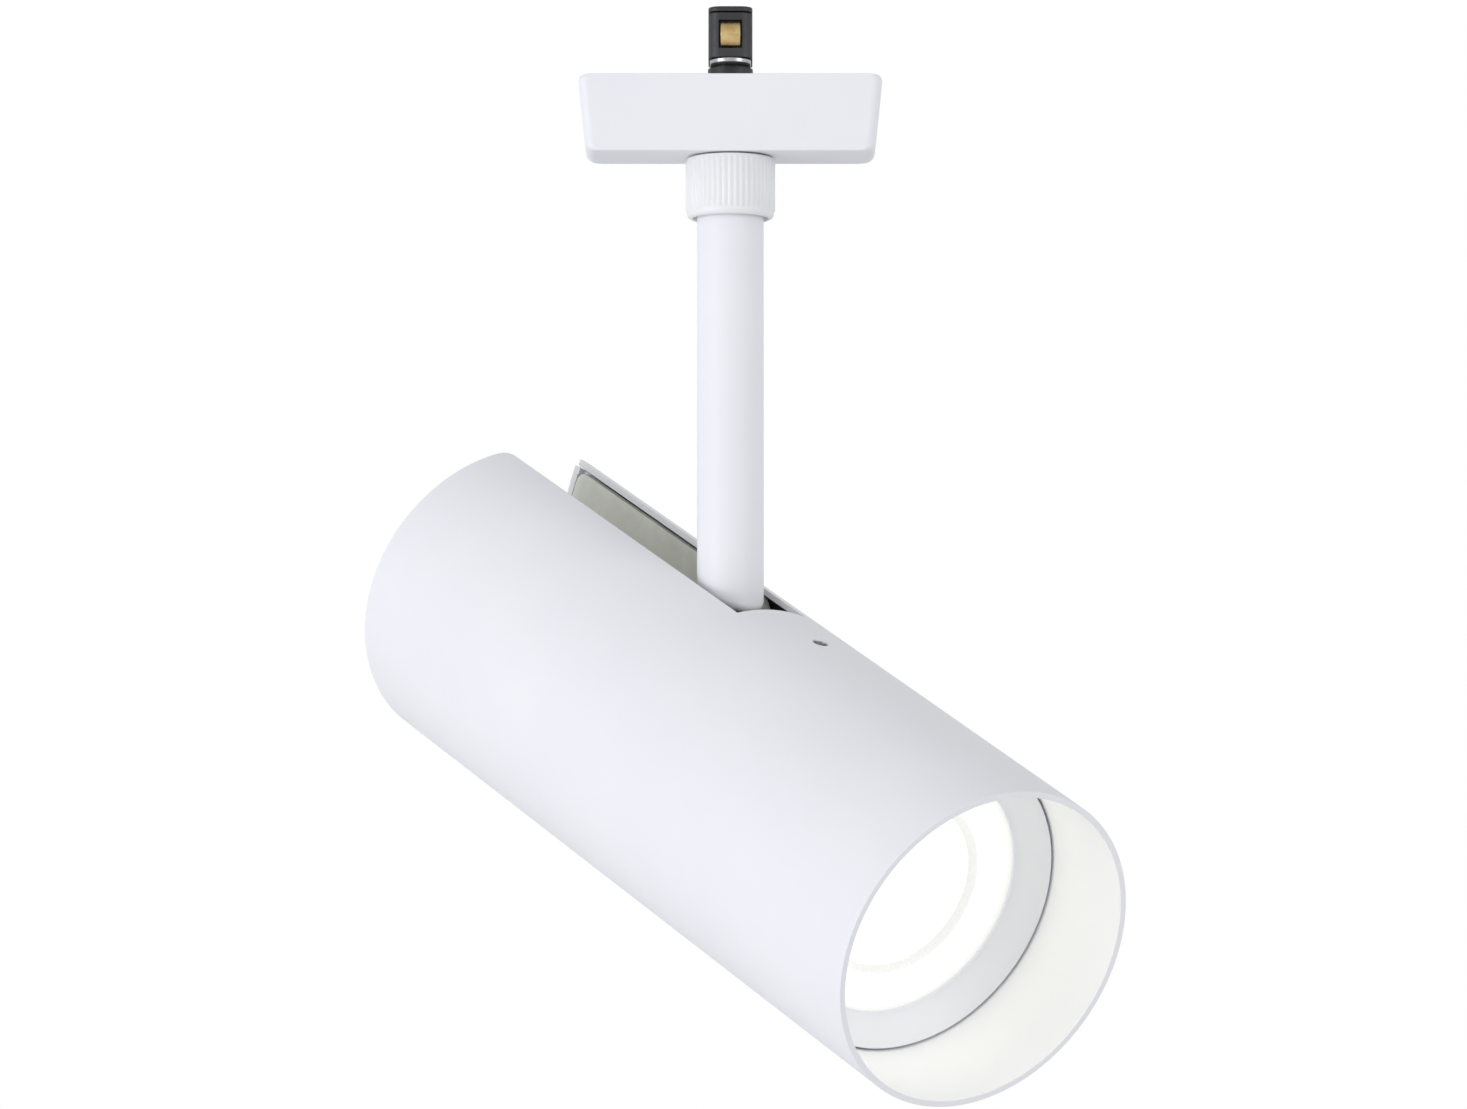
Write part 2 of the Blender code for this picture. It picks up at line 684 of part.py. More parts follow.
def stem_tube(stem, tilt):
    bottom = -PIVOT_DEPTH - 2 * MM
    profile = [
        (STEM_RADIUS, STEM_TOP),
        (STEM_RADIUS, bottom),
        (STEM_RADIUS_INNER, bottom),
        (STEM_RADIUS_INNER, STEM_TOP),
    ]
    tube = turned("stem_tube", WHITE_COAT, stem, profile, ROUND)
    low = (-20 * MM, -10 * MM, -20 * MM)
    high = (20 * MM, 10 * MM, FOOT_CUT_HEIGHT)
    return cut(tube, block("slanted_end", None, tilt, low, high))


def stem_foot(stem, tilt):
    """The spigot in the stem and the tongue that turns on the pivot."""
    top = -PIVOT_DEPTH + 32 * MM
    low = (0, 0, -PIVOT_DEPTH + 6 * MM)
    spigot = rod("stem_foot", ZINC_SHEET, stem, SPINDLE_RADIUS, low, (0, 0, top), ROUND)
    round_end = arc(TONGUE_RADIUS, math.pi, math.tau, 16)
    outline = round_end + [(TONGUE_RADIUS, 22 * MM), (-TONGUE_RADIUS, 22 * MM)]
    tongue = plate(
        "foot_tongue",
        None,
        stem,
        [outline],
        2 * TONGUE_HALF_WIDTH,
        (0, 0, -PIVOT_DEPTH),
        (math.pi / 2, 0, 0),
    )
    low = (-30 * MM, -20 * MM, FOOT_CUT_HEIGHT - 0.4 * MM)
    high = (30 * MM, 20 * MM, 40 * MM)
    cut(tongue, block("tongue_trim", None, tilt, low, high))
    join(spigot, tongue)
    eye = rod("foot_eye", None, tilt, 2.3 * MM, (0, -9 * MM, 0), (0, 9 * MM, 0))
    bend = Vector((0, 0, -PIVOT_DEPTH + 8.5 * MM))
    start = bend - Vector((0, 0, 1 * MM))
    upper = rod("foot_passage", None, stem, PASSAGE_RADIUS, start, (0, 0, top + 3 * MM))
    mouth = bend + Vector((9 * MM, 0, -9 * MM))
    lower = rod("foot_mouth", None, stem, PASSAGE_RADIUS, bend, mouth)
    return cut(spigot, eye, upper, lower)


def stem_cable(stem):
    """The sheathed cable, from inside the insert to the foot's mouth."""
    pivot = -PIVOT_DEPTH
    route = [
        (0, 0, -3.6 * MM),
        (0, 0, pivot / 2),
        (0, 0, pivot + 16 * MM),
        (0, 0, pivot + 11 * MM),
        (1.1 * MM, 0, pivot + 7.8 * MM),
        (3.2 * MM, 0, pivot + 5.4 * MM),
        (5.2 * MM, 0, pivot + 3.4 * MM),
    ]
    straight = [Vector(p) for p in route[:3]]
    wire("stem_cable", CABLE_SHEATH, stem, straight + bezier(route[2:], 3)[1:], CABLE_RADIUS, 2)


# ---- Head: its frame lies on the tube's axis, +X towards the front rim ----


def slot_outline():
    """The slot seen from above: square at its front, with rounded corners where it opens at the rear."""
    rear = -HEAD_LENGTH
    flare = SLOT_HALF_WIDTH + SLOT_CORNER
    beyond = rear - 5 * MM
    left = arc(SLOT_CORNER, math.pi / 2, math.pi, 6, (rear + SLOT_CORNER, -flare))
    right = arc(SLOT_CORNER, math.pi, math.tau * 3 / 4, 6, (rear + SLOT_CORNER, flare))
    front = [(SLOT_FRONT, SLOT_HALF_WIDTH), (SLOT_FRONT, -SLOT_HALF_WIDTH)]
    return [*front, *left, (beyond, -flare), (beyond, flare), *right]


def head_tube(head):
    profile = [(HEAD_RADIUS, 0), (HEAD_RADIUS, -HEAD_LENGTH), (HEAD_BORE, -HEAD_LENGTH), (HEAD_BORE, 0)]
    tube = turned("head_tube", WHITE_COAT, head, profile, FINE, along_x=True)
    slot = plate("tube_slot", None, head, [slot_outline()], 0.7 * HEAD_RADIUS, (0, 0, 0.85 * HEAD_RADIUS))
    start = (GRUB_ALONG, 0, 0.8 * HEAD_RADIUS)
    hole = rod("tube_screw_hole", None, head, GRUB_HOLE_RADIUS, start, (GRUB_ALONG, 0, 1.1 * HEAD_RADIUS))
    return cut(tube, slot, hole)


def channel_side(head, side):
    """One upright of the channel: its front top corner is cut back round the pivot."""
    centre = (CHANNEL_REAR + CHANNEL_CORNER, CHANNEL_TOP - CHANNEL_CORNER)
    rear_top = arc(CHANNEL_CORNER, math.pi / 2, math.pi, 5, centre)
    outline = [
        (CHANNEL_REAR, CHANNEL_FLOOR - SHEET),
        (CHANNEL_FRONT, CHANNEL_FLOOR - SHEET),
        (CHANNEL_FRONT, 16 * MM),
        (PIVOT_ALONG - 6 * MM, CHANNEL_TOP),
        *rear_top,
    ]
    middle = side * (CHANNEL_INNER + SHEET / 2)
    return plate("channel_side", None, head, [outline], SHEET, (0, middle, 0), (math.pi / 2, 0, 0))


def channel_bracket(head):
    under = CHANNEL_FLOOR - SHEET
    floor = block(
        "channel_bracket",
        ZINC_SHEET,
        head,
        (CHANNEL_REAR, -CHANNEL_INNER - SHEET / 2, under),
        (CHANNEL_FRONT, CHANNEL_INNER + SHEET / 2, CHANNEL_FLOOR),
    )
    wall = CHANNEL_FRONT - SHEET
    inside = CHANNEL_INNER + SHEET / 2
    strap_top = HEAD_BORE - 1.1 * MM
    front_low = block(
        "front_wall",
        None,
        head,
        (wall, -inside, under + 0.2 * MM),
        (CHANNEL_FRONT - STEP, inside, 15.8 * MM),
    )
    front_high = block(
        "front_strap",
        None,
        head,
        (wall + STEP, -STRAP_HALF_WIDTH, 15 * MM),
        (CHANNEL_FRONT, STRAP_HALF_WIDTH, strap_top),
    )
    strap = block(
        "screw_strap",
        None,
        head,
        (wall + 0.3 * MM, -STRAP_HALF_WIDTH + 0.1 * MM, strap_top - SHEET),
        (GRUB_ALONG + 6 * MM, STRAP_HALF_WIDTH - 0.1 * MM, strap_top - STEP),
    )
    holder_tab = block(
        "holder_tab",
        None,
        head,
        (HOLDER_REAR - 0.4 * MM - SHEET, -HOLDER_HALF_WIDTH, -7 * MM),
        (HOLDER_REAR - 0.4 * MM, HOLDER_HALF_WIDTH, under + 0.5 * MM),
    )
    rear_tab = block(
        "rear_tab",
        None,
        head,
        (CHANNEL_REAR + 2 * STEP, -15 * MM, -3 * MM),
        (CHANNEL_REAR + SHEET, 15 * MM, under + 0.5 * MM),
    )
    sides = [channel_side(head, side) for side in (-1, 1)]
    join(floor, *sides, front_low, front_high, strap, holder_tab, rear_tab)
    pivot = rod(
        "bracket_pivot",
        None,
        head,
        2.3 * MM,
        (PIVOT_ALONG, -12 * MM, PIVOT_HEIGHT),
        (PIVOT_ALONG, 12 * MM, PIVOT_HEIGHT),
    )
    low = (LEAD_ALONG, 0, under - 2 * MM)
    lead_hole = rod("bracket_leads", None, head, 3.3 * MM, low, (LEAD_ALONG, 0, CHANNEL_FLOOR + 2 * MM))
    start = (GRUB_ALONG, 0, 0.8 * HEAD_RADIUS)
    grub = rod("bracket_grub", None, head, GRUB_HOLE_RADIUS, start, (GRUB_ALONG, 0, 1.05 * HEAD_RADIUS))
    cut(floor, pivot, lead_hole, grub)
    behind = wall - 3 * MM
    ahead = wall + 4 * MM
    for height, radius in ((EARTH_SCREW_HEIGHT, 1.6 * MM), (EARTH_LEAD_HEIGHT, 1.0 * MM)):
        cut(floor, rod("bracket_earth", None, head, radius, (behind, 0, height), (ahead, 0, height), 16))
    for side in (-1, 1):
        w = side * HOLDER_SCREW_SIDE
        start = (HOLDER_REAR - 5 * MM, w, 0)
        hole = rod("tab_hole", None, head, 1.7 * MM, start, (HOLDER_REAR + 3 * MM, w, 0), 16)
        w = side * CAP_SCREW_SIDE
        start = (CHANNEL_REAR - 3 * MM, w, CAP_SCREW_HEIGHT)
        end = (CHANNEL_REAR + 4 * MM, w, CAP_SCREW_HEIGHT)
        cut(floor, hole, rod("cap_tapping", None, head, 1.5 * MM, start, end, 16))
    return floor


def rear_cap(head):
    skirt_front = CAP_FRONT + 6.4 * MM
    outer = HEAD_BORE - GAP
    profile = [
        (0, CAP_FRONT),
        (outer - SHEET, CAP_FRONT),
        (outer - SHEET, skirt_front),
        (outer, skirt_front),
        (outer, -HEAD_LENGTH),
        (0, -HEAD_LENGTH),
    ]
    cap = turned("rear_cap", WHITE_COAT, head, profile, MEDIUM, along_x=True, closed=False)
    ahead = skirt_front + 5 * MM
    above = 1.25 * HEAD_RADIUS
    half = CHANNEL_INNER + 0.28 * MM
    low = (-HEAD_LENGTH - 5 * MM, -half, CHANNEL_FLOOR + GAP)
    notch = block("cap_notch", None, head, low, (ahead, half, above))
    half = CHANNEL_OUTER + 0.48 * MM
    low = (CAP_FRONT + GAP, -half, CHANNEL_FLOOR)
    relief = block("skirt_notch", None, head, low, (ahead, half, above))
    cut(cap, notch, relief)
    sink = [(0, 3 * MM), (1.5 * MM, 3 * MM), (1.5 * MM, 1.2 * MM), (3.2 * MM, -0.5 * MM), (0, -0.5 * MM)]
    for side in (-1, 1):
        place_at = (-HEAD_LENGTH, side * CAP_SCREW_SIDE, CAP_SCREW_HEIGHT)
        cut(cap, turned("cap_sink", None, head, sink, 20, True, place_at, closed=False))
    return cap


def cap_screws(head):
    """Their heads face the rear, so each one hangs on a frame turned about."""
    for side, word in ((-1, "left"), (1, "right")):
        centre = (-HEAD_LENGTH + 0.2 * MM, side * CAP_SCREW_SIDE, CAP_SCREW_HEIGHT)
        facing = empty("cap_screw_frame_" + word, head, centre, (0, 0, math.pi))
        countersunk_screw("cap_screw_" + word, facing, 2.3 * MM, 1.2 * MM, 6 * MM, along_x=True)


def grub_screw(head):
    top = (GRUB_ALONG, 0, 31.2 * MM)
    screw = rod("grub_screw", BRIGHT_STEEL, head, 1.3 * MM, (GRUB_ALONG, 0, 27.4 * MM), top)
    socket_end = (GRUB_ALONG, 0, 30 * MM)
    return cut(screw, rod("grub_socket", None, head, 0.75 * MM, socket_end, (GRUB_ALONG, 0, 33 * MM), 6))


def pivot_hardware(head):
    """The bolt, nut, spring washer and spacers that clamp the foot between the channel's sides."""
    frame = empty("pivot_frame", head, (PIVOT_ALONG, 0, PIVOT_HEIGHT), (-math.pi / 2, 0, 0))
    shank = 2.0 * MM
    top = CHANNEL_OUTER + 1.3 * MM
    profile = [
        (0, top + 2.4 * MM),
        (3.2 * MM, top + 2.4 * MM),
        (3.6 * MM, top + 1.8 * MM),
        (3.6 * MM, top),
        (shank, top),
        (shank, -CHANNEL_OUTER - 4.2 * MM),
        (0, -CHANNEL_OUTER - 4.2 * MM),
    ]
    bolt = turned("pivot_bolt", BRIGHT_STEEL, frame, profile, SMALL, closed=False)
    cut(bolt, rod("bolt_socket", None, frame, 1.5 * MM, (0, 0, top + 1 * MM), (0, 0, top + 4 * MM), 6))
    washer("pivot_spring_washer", BRIGHT_STEEL, frame, shank + GAP, 3.8 * MM, CHANNEL_OUTER + GAP, top - GAP)
    for side, word in ((-1, "left"), (1, "right")):
        ends = sorted((side * (TONGUE_HALF_WIDTH + GAP), side * (CHANNEL_INNER - GAP)))
        washer("pivot_spacer_" + word, BRASS, frame, shank + GAP, 4.6 * MM, *ends)
    nut_end = (0, 0, -CHANNEL_OUTER - 3.4 * MM)
    nut = rod("pivot_nut", BRIGHT_STEEL, frame, 3.9 * MM, nut_end, (0, 0, -CHANNEL_OUTER - GAP), 6)
    return cut(nut, rod("nut_bore", None, frame, shank + GAP, (0, 0, -16 * MM), (0, 0, -6 * MM)))


def lamp_holder(head):
    holder = block(
        "lamp_holder",
        CERAMIC,
        head,
        (HOLDER_REAR, -HOLDER_HALF_WIDTH, -HOLDER_HALF_HEIGHT),
        (HOLDER_FRONT, HOLDER_HALF_WIDTH, HOLDER_HALF_HEIGHT),
        corner=1.0 * MM,
    )
    for side in (-1, 1):
        for step in range(5):
            angle = TWIST * step / 4
            w = side * PIN_SPACING / 2 * math.cos(angle)
            h = side * PIN_SPACING / 2 * math.sin(angle)
            start = (PIN_END - 2 * MM, w, h)
            end = (HOLDER_FRONT + 3 * MM, w, h)
            cut(holder, rod("pin_socket", None, head, PIN_HEAD_RADIUS + 0.35 * MM, start, end))
        w = side * LEAD_SIDE
        start = (LEAD_ALONG, w, 3 * MM)
        end = (LEAD_ALONG, w, 12 * MM)
        cut(holder, rod("lead_entry", None, head, 0.95 * MM, start, end, 12))
        w = side * HOLDER_SCREW_SIDE
        start = (HOLDER_REAR - 2 * MM, w, 0)
        end = (HOLDER_REAR + 7.5 * MM, w, 0)
        cut(holder, rod("holder_tapping", None, head, 1.4 * MM, start, end, 16))
    return holder


def holder_fittings(head):
    """The contacts at the bottom of the pin sockets, and the screws that hold the holder."""
    for side, word in ((-1, "left"), (1, "right")):
        w = side * PIN_SPACING / 2
        block(
            "holder_contact_" + word,
            BRASS,
            head,
            (PIN_END - 1.7 * MM, w - 1.8 * MM, -1.4 * MM),
            (PIN_END - 0.6 * MM, w + 1.8 * MM, 1.4 * MM),
        )
        w = side * HOLDER_SCREW_SIDE
        back = HOLDER_REAR - 0.4 * MM - SHEET - GAP
        profile = [
            (0, HOLDER_REAR + 6.5 * MM),
            (1.1 * MM, HOLDER_REAR + 6.5 * MM),
            (1.1 * MM, back),
            (2.7 * MM, back),
            (2.7 * MM, back - 1.3 * MM),
            (2.1 * MM, back - 1.9 * MM),
            (0, back - 1.9 * MM),
        ]
        turned("holder_screw_" + word, BRIGHT_STEEL, head, profile, 20, True, (0, w, 0), closed=False)


def earth_terminal(head):
    wall = CHANNEL_FRONT
    height = EARTH_SCREW_HEIGHT
    tag = plate(
        "earth_tag",
        BRASS,
        head,
        [circle(2.9 * MM, 20), circle(1.6 * MM, 16)],
        0.5 * MM,
        (wall + 0.6 * MM, 0, height),
        (0, math.pi / 2, 0),
    )
    profile = [
        (0, wall + 2.8 * MM),
        (2.0 * MM, wall + 2.8 * MM),
        (2.5 * MM, wall + 2.3 * MM),
        (2.5 * MM, wall + 1.15 * MM),
        (1.3 * MM, wall + 1.15 * MM),
        (1.3 * MM, wall - 2.8 * MM),
        (0, wall - 2.8 * MM),
    ]
    turned("earth_screw", BRASS, head, profile, 20, True, (0, 0, height), closed=False)
    return tag


def head_leads(head):
    """The cores, from beside the foot's mouth: two into the holder's top, one to the earth terminal."""
    for side, word, look in ((-1, "live", BROWN_CORE), (1, "neutral", BLUE_CORE)):
        w = side * LEAD_SIDE
        route = [
            (-88.5 * MM, w, 22.4 * MM),
            (-88.4 * MM, w, 19.5 * MM),
            (-88.9 * MM, w, 16 * MM),
            (-90.2 * MM, w, 12.6 * MM),
            (LEAD_ALONG, w, 9 * MM),
            (LEAD_ALONG, w, 4.5 * MM),
        ]
        wire("head_lead_" + word, look, head, bezier(route, 4), CORE_RADIUS, 1)
    route = [
        (-89.7 * MM, 0, 23.2 * MM),
        (-89.2 * MM, 0, 20.6 * MM),
        (-88.7 * MM, 0, 18.2 * MM),
        (CHANNEL_FRONT - 1.8 * MM, 0, 16.8 * MM),
        (CHANNEL_FRONT - 0.6 * MM, 0, EARTH_LEAD_HEIGHT),
        (CHANNEL_FRONT + 0.8 * MM, 0, 17 * MM),
        (CHANNEL_FRONT + 0.9 * MM, 0, 19.6 * MM),
    ]
    wire("head_lead_earth", EARTH_CORE, head, bezier(route, 4), CORE_RADIUS, 1)


# ---- Lamp and its retaining ring ----


def retaining_ring(head):
    lip = LAMP_RADIUS - 0.4 * MM
    skirt = RING_RADIUS - 1.4 * MM
    rear = -33 * MM
    groove = RING_RADIUS - 0.65 * MM
    profile = [
        (RING_RADIUS - 0.4 * MM, RING_FRONT),
        (RING_RADIUS, RING_FRONT - 0.4 * MM),
        (RING_RADIUS, SNAP_ALONG + 0.6 * MM),
        (groove, SNAP_ALONG + 0.6 * MM),
        (groove, SNAP_ALONG - 0.6 * MM),
        (RING_RADIUS, SNAP_ALONG - 0.6 * MM),
        (RING_RADIUS, rear),
        (skirt, rear),
        (skirt, RING_FRONT - 2.6 * MM),
        (lip, LAMP_FACE + GAP),
        (lip, LAMP_FACE + 1.1 * MM),
    ]
    return turned("retaining_ring", WHITE_COAT, head, profile, MEDIUM, along_x=True)


def snap_wire(head):
    radius = RING_RADIUS - 0.2 * MM
    points = [(SNAP_ALONG, y, z) for y, z in arc(radius, math.radians(-70), math.radians(250), 30)]
    wire("snap_wire", BRIGHT_STEEL, head, points, 0.35 * MM, 1)


def lamp_body(head):
    """A cup for the lens and the board, tapering to the base that holds the pins."""
    taper = [
        (LAMP_RADIUS, LAMP_FACE - 4.3 * MM),
        (23.4 * MM, LAMP_FACE - 9 * MM),
        (20.6 * MM, LAMP_FACE - 17 * MM),
        (17.0 * MM, LAMP_FACE - 27 * MM),
        (14.2 * MM, LAMP_FACE - 36 * MM),
        (12.5 * MM, LAMP_FACE - 39 * MM),
        (12.5 * MM, LAMP_BASE),
        (0, LAMP_BASE),
    ]
    cup = [
        (0, LAMP_FACE - 8.4 * MM),
        (21.2 * MM, LAMP_FACE - 8.4 * MM),
        (LENS_RADIUS + GAP, LAMP_FACE - 5.6 * MM),
        (LENS_RADIUS + GAP, LAMP_FACE),
        (LAMP_RADIUS, LAMP_FACE),
    ]
    body = turned("lamp_body", WHITE_PLASTIC, head, cup + taper, MEDIUM, along_x=True, closed=False)
    for side in (-1, 1):
        w = side * PIN_SPACING / 2
        start = (LAMP_BASE - 2 * MM, w, 0)
        end = (LAMP_BASE + 5 * MM, w, 0)
        cut(body, rod("pin_seat", None, head, 1.8 * MM, start, end))
    return body


def lamp_lens(head):
    profile = [
        (0, LAMP_FACE - 2.6 * MM),
        (16.5 * MM, LAMP_FACE - 2.6 * MM),
        (17.8 * MM, LAMP_FACE - 1.3 * MM),
        (LENS_RADIUS, LAMP_FACE - 0.3 * MM),
        (LENS_RADIUS, LAMP_FACE - 4.6 * MM),
        (15 * MM, LAMP_FACE - 6.6 * MM),
        (0, LAMP_FACE - 6.6 * MM),
    ]
    return turned("lamp_lens", LENS, head, profile, MEDIUM, along_x=True, closed=False)


def led_board(head):
    ends = (LAMP_FACE - 7.0 * MM, LAMP_FACE - 8.0 * MM)
    profile = [(0, ends[0]), (19.5 * MM, ends[0]), (19.5 * MM, ends[1]), (0, ends[1])]
    return turned("led_board", BOARD, head, profile, ROUND, along_x=True, closed=False)


def lamp_pins(head):
    for side, word in ((-1, "left"), (1, "right")):
        neck = PIN_END + 3 * MM
        profile = [
            (0, LAMP_BASE + 4.6 * MM),
            (1.5 * MM, LAMP_BASE + 4.6 * MM),
            (1.5 * MM, neck),
            (PIN_HEAD_RADIUS, neck),
            (PIN_HEAD_RADIUS, PIN_END + 0.4 * MM),
            (PIN_HEAD_RADIUS - 0.4 * MM, PIN_END),
            (0, PIN_END),
        ]
        w = side * PIN_SPACING / 2
        turned("lamp_pin_" + word, BRIGHT_STEEL, head, profile, 20, True, (0, w, 0), closed=False)


# ---- Assembly ----


def build_adapter():
    adapter_housing()
    adapter_cover()
    cover_screws()


def build_lock():
    rotor_shaft()
    contact_insert()
    insert_cap()
    insert_contacts()
    lock_plate()
    ring_clip()
    lock_ring()
    insert_leads()


def build_stem(stem, tilt):
    swivel_spindle(stem)
    stem_washers(stem)
    stem_tube(stem, tilt)
    stem_foot(stem, tilt)
    stem_cable(stem)


def build_head(head):
    head_tube(head)
    channel_bracket(head)
    rear_cap(head)
    cap_screws(head)
    grub_screw(head)
    pivot_hardware(head)
    lamp_holder(head)
    holder_fittings(head)
    earth_terminal(head)
    head_leads(head)


def build_lamp(head):
    retaining_ring(head)
    snap_wire(head)
    lamp_body(head)
    lamp_lens(head)
    led_board(head)
    lamp_pins(head)


clear_scene()
PARTS = new_collection("track_spotlight", False)
CUTTERS = new_collection("cutters", True)

swivel_axis = empty("swivel_axis", None, (0, 0, 0), (0, 0, HEAD_YAW))
tilt_axis = empty("tilt_axis", swivel_axis, (0, 0, -PIVOT_DEPTH), (0, HEAD_TILT, 0))
head_axis = empty("head_axis", tilt_axis, (-PIVOT_ALONG, 0, -PIVOT_HEIGHT))

build_adapter()
build_lock()
build_stem(swivel_axis, tilt_axis)
build_head(head_axis)
build_lamp(head_axis)
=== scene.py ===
"""The looks of the track spotlight: finer pieces in the CAD's places, and a finish for everything."""

import json
import math

import bmesh
import bpy
from mathutils import Matrix, Vector


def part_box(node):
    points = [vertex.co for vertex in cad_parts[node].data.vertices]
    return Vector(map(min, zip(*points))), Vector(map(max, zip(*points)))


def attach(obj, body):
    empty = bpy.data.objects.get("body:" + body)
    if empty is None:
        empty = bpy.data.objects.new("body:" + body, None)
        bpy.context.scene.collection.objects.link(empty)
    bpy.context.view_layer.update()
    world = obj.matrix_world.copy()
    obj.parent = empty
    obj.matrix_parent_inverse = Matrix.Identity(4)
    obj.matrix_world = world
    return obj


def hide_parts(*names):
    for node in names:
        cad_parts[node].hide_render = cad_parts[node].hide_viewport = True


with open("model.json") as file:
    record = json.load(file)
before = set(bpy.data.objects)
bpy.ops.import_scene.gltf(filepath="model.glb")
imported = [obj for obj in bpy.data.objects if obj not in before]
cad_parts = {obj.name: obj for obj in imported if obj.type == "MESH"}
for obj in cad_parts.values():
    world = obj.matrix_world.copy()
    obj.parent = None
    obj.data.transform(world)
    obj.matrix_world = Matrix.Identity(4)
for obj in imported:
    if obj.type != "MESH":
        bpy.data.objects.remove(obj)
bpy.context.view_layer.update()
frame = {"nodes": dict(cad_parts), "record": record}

MM = 0.001

# ---- Frames and measures read from the CAD ----

JOINTS = {joint["name"]: joint for joint in frame["record"]["behaviour"]["joints"]}
ALONG = Vector(JOINTS["ring_pull"]["axis"]).normalized()
SIDE = Vector(JOINTS["head_tilt"]["axis"]).normalized()
UP = ALONG.cross(SIDE)
PIVOT = Vector(JOINTS["head_tilt"]["pos_m"])


def frame_of(x_axis, y_axis, z_axis, origin):
    turn = Matrix((x_axis, y_axis, z_axis)).transposed().to_4x4()
    return Matrix.Translation(origin) @ turn


# HEAD has its X along the head's axis, zero at the mouth; PART is the whole part's own frame.
HEAD = frame_of(ALONG, SIDE, UP, Vector(JOINTS["lamp_twist"]["pos_m"]))
PART = Matrix.Identity(4)


def reach(node, place):
    """A node's lowest and highest corner along the axes of a frame."""
    back = place.inverted()
    points = [back @ vert.co for vert in frame["nodes"][node].data.vertices]
    low = Vector([min(p[i] for p in points) for i in range(3)])
    return low, Vector([max(p[i] for p in points) for i in range(3)])


# ---- Mesh helpers ----

WELD = 1e-7


def finish_mesh(name, verts, faces, place, sharp=35.0):
    """A smooth-shaded object from points and faces given in a frame."""
    bm = bmesh.new()
    made = [bm.verts.new(place @ Vector(v)) for v in verts]
    for face in faces:
        if len(set(face)) > 2:
            bm.faces.new([made[i] for i in face])
    bmesh.ops.remove_doubles(bm, verts=bm.verts, dist=WELD)
    bmesh.ops.dissolve_degenerate(bm, edges=bm.edges, dist=WELD)
    bmesh.ops.recalc_face_normals(bm, faces=bm.faces)
    mesh = bpy.data.meshes.new(name)
    bm.to_mesh(mesh)
    bm.free()
    mesh.shade_smooth()
    mesh.set_sharp_from_angle(angle=math.radians(sharp))
    obj = bpy.data.objects.new(name, mesh)
    bpy.context.scene.collection.objects.link(obj)
    return obj


def skin(name, rings, place, closed=True, sharp=35.0, fill=True):
    """A surface through rings of points: closed joins the last to the first, fill caps open ends."""
    size = len(rings[0])
    faces = []
    for i in range(len(rings) if closed else len(rings) - 1):
        a = i * size
        b = (i + 1) % len(rings) * size
        for k in range(size):
            n = (k + 1) % size
            faces.append((a + k, a + n, b + n, b + k))
    if fill and not closed:
        faces.append(tuple(range(size)))
        last = (len(rings) - 1) * size
        faces.append(tuple(last + k for k in range(size)))
    return finish_mesh(name, [p for ring in rings for p in ring], faces, place, sharp)


def rounded(corners, closed=True, steps=4):
    """A profile through corners (x, y, radius), each one rounded by its radius."""
    points = []
    count = len(corners)
    for i, (x, y, radius) in enumerate(corners):
        corner = Vector((x, y))
        at_end = not closed and i in (0, count - 1)
        if not radius or at_end:
            points.append(corner)
            continue
        before = Vector(corners[i - 1][:2]) - corner
        after = Vector(corners[(i + 1) % count][:2]) - corner
        half = before.angle(after) / 2
        run = min(radius / math.tan(half), 0.48 * before.length, 0.48 * after.length)
        start = corner + before.normalized() * run
        end = corner + after.normalized() * run
        middle = (before.normalized() + after.normalized()).normalized()
        centre = corner + middle * run / math.cos(half)
        first = start - centre
        turn = first.angle_signed(end - centre)
        for k in range(steps + 1):
            angle = -turn * k / steps
            c, s = math.cos(angle), math.sin(angle)
            points.append(centre + Vector((first.x * c - first.y * s, first.x * s + first.y * c)))
    return points


def circle(radius, height, steps, along_x=False):
    """A ring of points round the frame's Z at a height, or round its X at a place along it."""
    ring = []
    for k in range(steps):
        angle = math.tau * k / steps
        u, v = radius * math.cos(angle), radius * math.sin(angle)
        ring.append((height, u, v) if along_x else (u, v, height))
    return ring


def turned(name, profile, place, along_x=False, steps=128, closed=True):
    """A profile of (radius, height) turned; one that isn't closed starts and ends on the axis."""
    rings = [circle(radius, height, steps, along_x) for radius, height in profile]
    return skin(name, rings, place, closed, fill=False)


def box(name, low, high, place, corner=0.0):
    """A box between two corners; corner rounds its upright edges."""
    bm = bmesh.new()
    bmesh.ops.create_cube(bm, size=1.0)
    low, high = Vector(low), Vector(high)
    bmesh.ops.scale(bm, vec=high - low, verts=bm.verts)
    if corner:
        upright = [e for e in bm.edges if abs(e.verts[0].co.z - e.verts[1].co.z) > 1e-6]
        bmesh.ops.bevel(bm, geom=upright, offset=corner, segments=8, profile=0.5, affect="EDGES")
    bmesh.ops.translate(bm, vec=(low + high) / 2, verts=bm.verts)
    verts = [v.co.copy() for v in bm.verts]
    bm.verts.index_update()
    faces = [[v.index for v in f.verts] for f in bm.faces]
    bm.free()
    return finish_mesh(name, verts, faces, place)


def rod(name, radius, start, end, place, steps=48):
    """A plain cylinder between two points of a frame."""
    start, end = Vector(start), Vector(end)
    turn = (end - start).to_track_quat("Z", "Y").to_matrix()
    ring = [Vector(point) for point in circle(1.0, 0.0, steps)]
    rings = [[point + turn @ (radius * p) for p in ring] for point in (start, end)]
    return skin(name, rings, place, closed=False)


